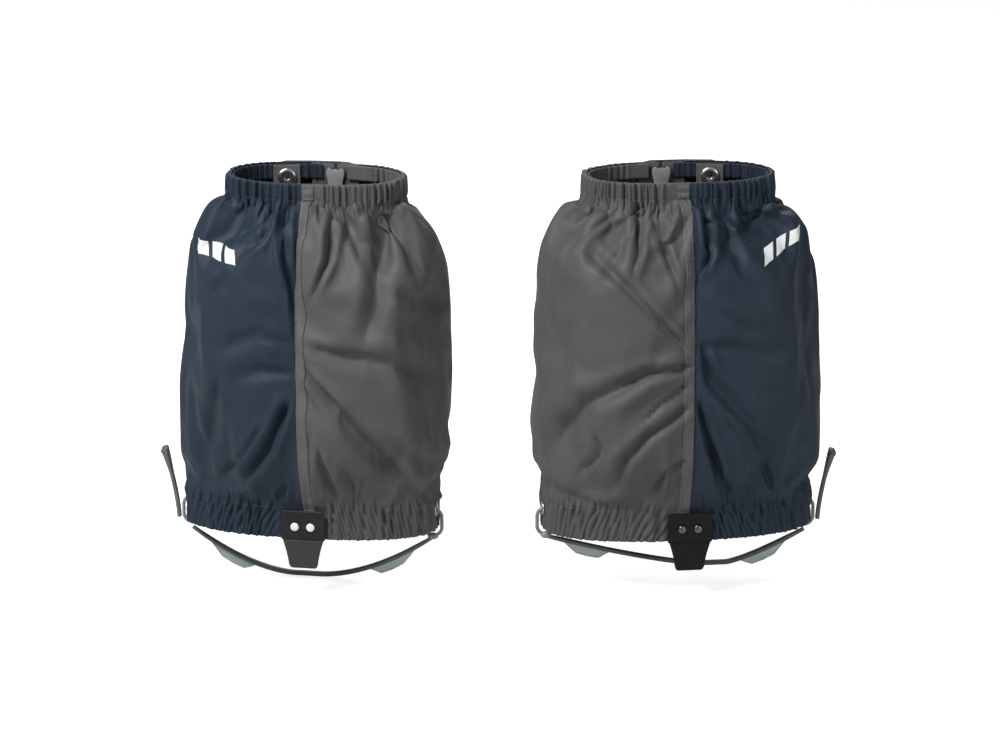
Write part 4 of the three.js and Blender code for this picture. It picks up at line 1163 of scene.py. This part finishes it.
# ---- front patch, tongue and lace hook -------------------------------------------------------------
# A patch of coated cloth is folded over the front of the hem and riveted to the lace hook behind it. Its
# lower end is a stiff tongue that lies over the boot's laces and covers the hook.
RIVET_X = (SEAM_X - 5.2, SEAM_X + 5.2)
RIVET_Z = 9.2
patch_coat = plastic_finish("patch_coating", (0.01, 0.01, 0.01), 0.3, wear=0.35, bump=0.22)
tongue_coat = plastic_finish("tongue_coating", (0.034, 0.034, 0.034), 0.45, wear=0.12, bump=0.2)
black_patch_coat = plastic_finish("black_patch_coating", (0.003, 0.003, 0.003), 0.46, wear=0.2, bump=0.2)
black_tongue_coat = plastic_finish("black_tongue_coating", (0.0035, 0.0035, 0.0035), 0.46, wear=0.15,
                                   bump=0.2)
for coat in (patch_coat, tongue_coat, black_patch_coat, black_tongue_coat):
    coat.node_tree.nodes["Principled BSDF"].inputs["Specular IOR Level"].default_value = 0.22
# The right gaiter's rivet heads get no metal finish: a near-white, non-metal paint stands for the bright
# reflection of their nickel, a painted reflection.
rivet_painted_reflection = plastic_finish("rivet_heads_painted_reflection", (0.72, 0.72, 0.7), 0.3, wear=0.05)

for g in PAIR:
    front = -g["hem"][1]
    right = g is RIGHT
    COLS, STEPS = 64, 46
    rows = []
    for j in range(STEPS + 1):
        z = 0.3 + 19.7 * j / STEPS
        half = 14.5 if z < 18 else 12.5 + math.sqrt(max(4 - (z - 18) ** 2, 0))
        row = []
        for i in range(COLS + 1):
            x = SEAM_X + half * (2 * i / COLS - 1)
            edge = min(half - abs(x - SEAM_X), 20 - z)
            out = -0.55 * (1 - math.sqrt(max(1 - (1 - min(edge / 0.9, 1)) ** 2, 0)))
            if right:
                near = min(math.hypot(x - rx, (z - RIVET_Z) * 1.05) for rx in RIVET_X)
                ridge = math.exp(-((near - 4.6) / 0.75) ** 2)
                square = ease(z, 2.2, 3.2)
                box = max(abs(x - SEAM_X) - 10.4, abs(z - 8.8) - 6.2)
                out += 0.5 * ridge * square * (box < 0.6)
                out += 0.35 * math.exp(-(box / 0.6) ** 2)
                out += 0.4 * math.exp(-((z - 17.2 - 0.5 * unrest(x * 0.1, 2, 5)) / 0.5) ** 2) \
                    * ease(half - abs(x - SEAM_X), 1, 4)
                out -= 0.3 * ease(-z, -3.2, -2.4)
            else:
                near = min(math.hypot(x - rx, z - RIVET_Z) for rx in RIVET_X)
                out += 0.22 * math.exp(-((near - 4.2) / 1.1) ** 2)
                out -= 0.25 * math.exp(-(near / 2.6) ** 2)
            out += 0.16 * unrest(x * 0.22, z * 0.22, g["seed"])
            row.append(Vector((x, front - 3.75 - out, z)))
        rows.append(row)
    bm = cloth_mesh(rows, [0.3 + 19.7 * j / STEPS for j in range(STEPS + 1)], 29)
    piece = place(g, bm, "hook_patch_coated", "cloth", ["hook_patch"], "coated_fabric",
                  patch_coat if right else black_patch_coat)
    ply = piece.modifiers.new("ply", "SOLIDIFY")
    ply.thickness = 1.2 * MM
    ply.offset = -1

    rows = []
    for j in range(33):
        z = -18.95 * j / 32
        share = j / 32
        half = 13.5 + (9.3 - 13.5) * share - 0.55 * math.sin(math.pi * share)
        corner = max(-17 - z, 0)
        half = min(half, 7.25 + math.sqrt(max(4 - corner ** 2, 0))) if corner else half
        row = []
        for i in range(41):
            x = SEAM_X + half * (2 * i / 40 - 1)
            edge = min(half - abs(x - SEAM_X), 19 + z)
            out = -0.5 * (1 - math.sqrt(max(1 - (1 - min(edge / 0.8, 1)) ** 2, 0)))
            out += 0.1 * unrest(x * 0.12, z * 0.12, g["seed"] + 3) - 0.3 * share
            row.append(Vector((x, front - 3.7 - out, z)))
        rows.append(row)
    bm = cloth_mesh(rows[::-1], [18.95 * j / 32 for j in range(33)], 27)
    piece = place(g, bm, "hook_tongue_coated", "tongue", ["hook_tongue"], "tongue_rubber",
                  tongue_coat if right else black_tongue_coat)
    ply = piece.modifiers.new("ply", "SOLIDIFY")
    ply.thickness = 1.2 * MM
    ply.offset = -1

    for name, x in zip(("outer", "inner"), RIVET_X):
        head = ([(0, -4.6), (2.1, -4.6), (2.2, -4.4), (2.15, -4.0), (1.1, -3.9), (1.1, 4.0), (2.65, 4.0),
                 (2.8, 4.15), (2.75, 4.45), (2.4, 4.75), (0, 4.85)] if right else
                [(0, -4.6), (2.1, -4.6), (2.2, -4.4), (2.15, -4.0), (1.1, -3.9), (1.1, 3.9), (2.7, 3.9),
                 (2.85, 4.1), (2.75, 4.5), (2.2, 5.05), (1.3, 5.4), (0, 5.5)])
        # On the right gaiter the heads carry the painted reflection in place of metal; on the left they are a dark
        # metal.
        rivet = stand(turned(head, 36), Vector((x, front, RIVET_Z)), Vector((0, -1, 0)))
        place(g, rivet, f"hook_rivet_{name}_head", "cloth", [f"hook_rivet_{name}"], "nickel" if right
              else "gunmetal", rivet_painted_reflection if right else gunmetal)
    hook = bpy.data.objects[f"{g['name']}_lace_hook"]
    for holder in hook.material_slots:
        holder.material = nickel if right else gunmetal

# ---- eyelets ---------------------------------------------------------------------------------------
# A nickel eyelet is set through the bottom hem at each side: a rolled flange outside, a barrel through
# the casing and a washer curled over inside.
for g in PAIR:
    a, _, x0, _ = section(g, 13)
    for name, side in (("outer", -1), ("inner", 1)):
        ring = turned([(3.0, -4.9), (3.3, -5.1), (4.1, -5.0), (4.5, -4.6), (4.4, -4.2), (3.4, -4.2), (3.4, 0.3),
                       (4.4, 0.3), (4.6, 0.55), (4.45, 0.95), (4.0, 1.25), (3.5, 1.3), (3.1, 1.1),
                       (3.0, 0.7)],
                      48)
        stand(ring, Vector((x0 + side * a, 0, 13)), Vector((side, 0, 0)))
        place(g, ring, f"{name}_eyelet_rolled", "cloth", [f"{name}_eyelet"], "nickel", nickel)

# ---- instep strap, keeper loop and tail ------------------------------------------------------------
# The strap is moulded in one piece of tough, slightly waxy plastic: a band under the boot's arch with a
# leaf-shaped fin near each end, a loop through each eyelet, and a tail outside that is pulled to fit it.
strap_plastic = plastic_finish("strap_plastic", (0.075, 0.086, 0.085), 0.42, wear=0.35, bump=0.15)
# The fins are the same moulded plastic as the band, but they are coloured far lighter. This is painted light for
# their lit front faces, and it is brightened further to make up for the gaiter's shadow above them.
leaf_painted_light_plastic = plastic_finish("strap_leaf_painted_light", (0.43, 0.51, 0.49), 0.4, wear=0.12, bump=0.15)
loop_plastic = plastic_finish("strap_loop_plastic", (0.17, 0.195, 0.205), 0.36, wear=0.15, bump=0.15)
LOOP_TOP, LOOP_FOOT, LOOP_RADIUS = 13.35, -5, 6


def loop_x(g, side):
    a, _, x0, _ = section(g, 13)
    return x0 + side * (a - 1.65)


def strap_line(g, x):
    low_x, low_z = g["strap_low"]
    side = -1 if x < low_x else 1
    end = -8.0 if side < 0 else -6.2
    span = abs(loop_x(g, side) - low_x) - 9
    run = max(abs(x - low_x) - 9, 0)
    return low_z + (end - low_z) * (run / span) ** g["strap_slack"]


def loop_ring(g, side):
    ring = bmesh.new()
    bmesh.ops.create_circle(ring, cap_ends=False, segments=14, radius=1.15)
    bmesh.ops.translate(ring, verts=ring.verts, vec=(LOOP_RADIUS, 0, 0))
    bmesh.ops.spin(ring, geom=ring.verts[:] + ring.edges[:], cent=(0, 0, 0), axis=(0, 1, 0),
                   angle=2 * math.pi,
                   steps=56, use_merge=True, use_duplicate=False)
    bmesh.ops.remove_doubles(ring, verts=ring.verts, dist=1e-4)
    for vert in ring.verts:
        vert.co.z += LOOP_TOP - LOOP_RADIUS if vert.co.z > 1e-4 else LOOP_FOOT + LOOP_RADIUS
    bmesh.ops.translate(ring, verts=ring.verts, vec=(loop_x(g, side), 0, 0))
    bmesh.ops.recalc_face_normals(ring, faces=ring.faces)
    return ring


def banded(path, sizes, round_by=0.85, sides=16):
    """A band swept along a path in the XZ plane, with a rounded section of its own at every step."""
    bm = bmesh.new()
    loops = []
    for k, (x, z) in enumerate(path):
        before, after = path[max(k - 1, 0)], path[min(k + 1, len(path) - 1)]
        along = Vector((after[0] - before[0], 0, after[1] - before[1])).normalized()
        up = Vector((-along.z, 0, along.x))
        tall, deep = sizes[k]
        ring = []
        for n in range(sides):
            c, s = math.cos(2 * math.pi * n / sides), math.sin(2 * math.pi * n / sides)
            c, s = (math.copysign(abs(v) ** (1 - round_by / 2), v) for v in (c, s))
            ring.append(bm.verts.new(Vector((x, 0, z)) + up * (s * tall / 2) + Vector((0, c * deep / 2, 0))))
        loops.append([bm.edges.new((ring[n], ring[(n + 1) % sides])) for n in range(sides)])
    for here, there in zip(loops, loops[1:]):
        bmesh.ops.bridge_loops(bm, edges=here + there)
    for end in (loops[0], loops[-1]):
        cap = bmesh.ops.contextual_create(bm, geom=end)
        bmesh.ops.inset_region(bm, faces=cap["faces"], thickness=0.3, depth=0.2)
    bmesh.ops.recalc_face_normals(bm, faces=bm.faces)
    return bm


for g in PAIR:
    low, top = loop_x(g, -1), loop_x(g, 1)
    path, sizes = [], []
    for k in range(97):
        x = low + (top - low) * k / 96
        from_end = min(x - low, top - x)
        path.append((x, strap_line(g, x)))
        sizes.append((2.4 + 0.6 * ease(from_end, 0, 12), 3.2 + 1.4 * ease(from_end, 4, 22)))
    band = banded(path, sizes)
    for start, end in ((low + 10, low + 44), (top - 44, top - 10)):
        def at(share, drop=0.0):
            x = start + (end - start) * share
            return x, strap_line(g, x) - drop
        leaf = cut_out([at(0), at(0.14, 3.4), at(0.28, 7.1), at(0.5, 7.6), at(0.72, 7.1), at(0.87, 3.6), at(1),
                        at(0.75), at(0.5), at(0.25)], 2.0)
        bmesh.ops.translate(leaf, verts=leaf.verts, vec=(0, -1, 0))
        flats = [f for f in leaf.faces if abs(f.normal.y) > 0.9]
        for flat in flats:
            bmesh.ops.inset_region(leaf, faces=[flat], thickness=0.75, depth=0)
            bmesh.ops.inset_region(leaf, faces=[flat], thickness=0.25, depth=-0.35)
        rounded(leaf, 0.12)
        # The fins take the lighter copy of the plastic: painted light, not a second colour of the moulding.
        for face in leaf.faces:
            face.material_index = 1
        merge_into(band, leaf)
    inner = loop_ring(g, 1)
    for face in inner.faces:
        face.material_index = 2
    merge_into(band, inner)
    knob = bmesh.new()
    bmesh.ops.create_uvsphere(knob, u_segments=20, v_segments=14, radius=1)
    bmesh.ops.scale(knob, verts=knob.verts, vec=(3.6, 2.6, 2.3))
    bmesh.ops.translate(knob, verts=knob.verts, vec=(loop_x(g, 1), 0, -5.4))
    for face in knob.faces:
        face.material_index = 2
    merge_into(band, knob)
    place(g, band, "instep_strap_moulding", "strap", ["instep_strap"], "strap_plastic", strap_plastic,
          leaf_painted_light_plastic, loop_plastic)
    place(g, loop_ring(g, -1), "strap_keeper_loop", "strap", ["strap_keeper"], "strap_plastic", loop_plastic)

    root = loop_x(g, -1) - LOOP_RADIUS - 1.2 - 0.8 - 1
    path, sizes = [], []
    for k in range(41):
        t = k / 40
        z = -1.2 + 47 * t
        lean = -9.2 * (0.25 * t + 0.75 * t ** 1.7)
        path.append((root + lean, z))
        sizes.append((2.7 + 1.9 * ease(t, 0.6, 1), 3.6 + 0.6 * t + 2.6 * ease(t, 0.55, 0.97)))
    tail = banded(path, sizes, round_by=1.1)
    for vert in tail.verts:
        if vert.co.z > 44:
            vert.co.z += 0.35 * vert.co.y - 0.6
    place(g, tail, "strap_tail_band", "tail", ["strap_tail"], "strap_plastic", strap_plastic)

# ---- reflective marks ------------------------------------------------------------------------------
# Three plain dashes of reflective film are pressed onto the outer side, high up where they clear the boot.
film = plastic_finish("reflective_film", (0.62, 0.64, 0.62), 0.35, wear=0.1, bump=0.1)

for g in PAIR:
    rows, below, above = panel_rows[g["name"], "outer"]
    stride = len(rows[0])
    cloth_face = BVHTree.FromPolygons(
        [p for row in rows for p in row],
        [(j * stride + i, j * stride + i + 1, (j + 1) * stride + i + 1, (j + 1) * stride + i)
         for j in range(len(rows) - 1) for i in range(stride - 1)])
    start, tilt = ((-42, 188), 0.1) if g is RIGHT else ((-48, 187), 0.42)
    marks = bmesh.new()
    for k in range(3):
        spots = []
        for j in range(15):
            row = []
            for i in range(15):
                across, up = k * 10.4 + 7.6 * i / 14, 8.5 * (j / 14 - 0.5)
                x = start[0] - across * math.cos(tilt) - 0.25 * up
                z = start[1] + across * math.sin(tilt) + up
                hit, normal, _, _ = cloth_face.ray_cast(Vector((x, -200, z)), Vector((0, 1, 0)))
                row.append(hit + normal * 0.42)
            spots.append(row[::-1])
        merge_into(marks, cloth_mesh(spots, list(range(15)), 14))
    piece = place(g, marks, "reflective_dashes", "cloth", [], "navy_fabric", film)
    ply = piece.modifiers.new("ply", "SOLIDIFY")
    ply.thickness = 0.12 * MM
    ply.offset = -1
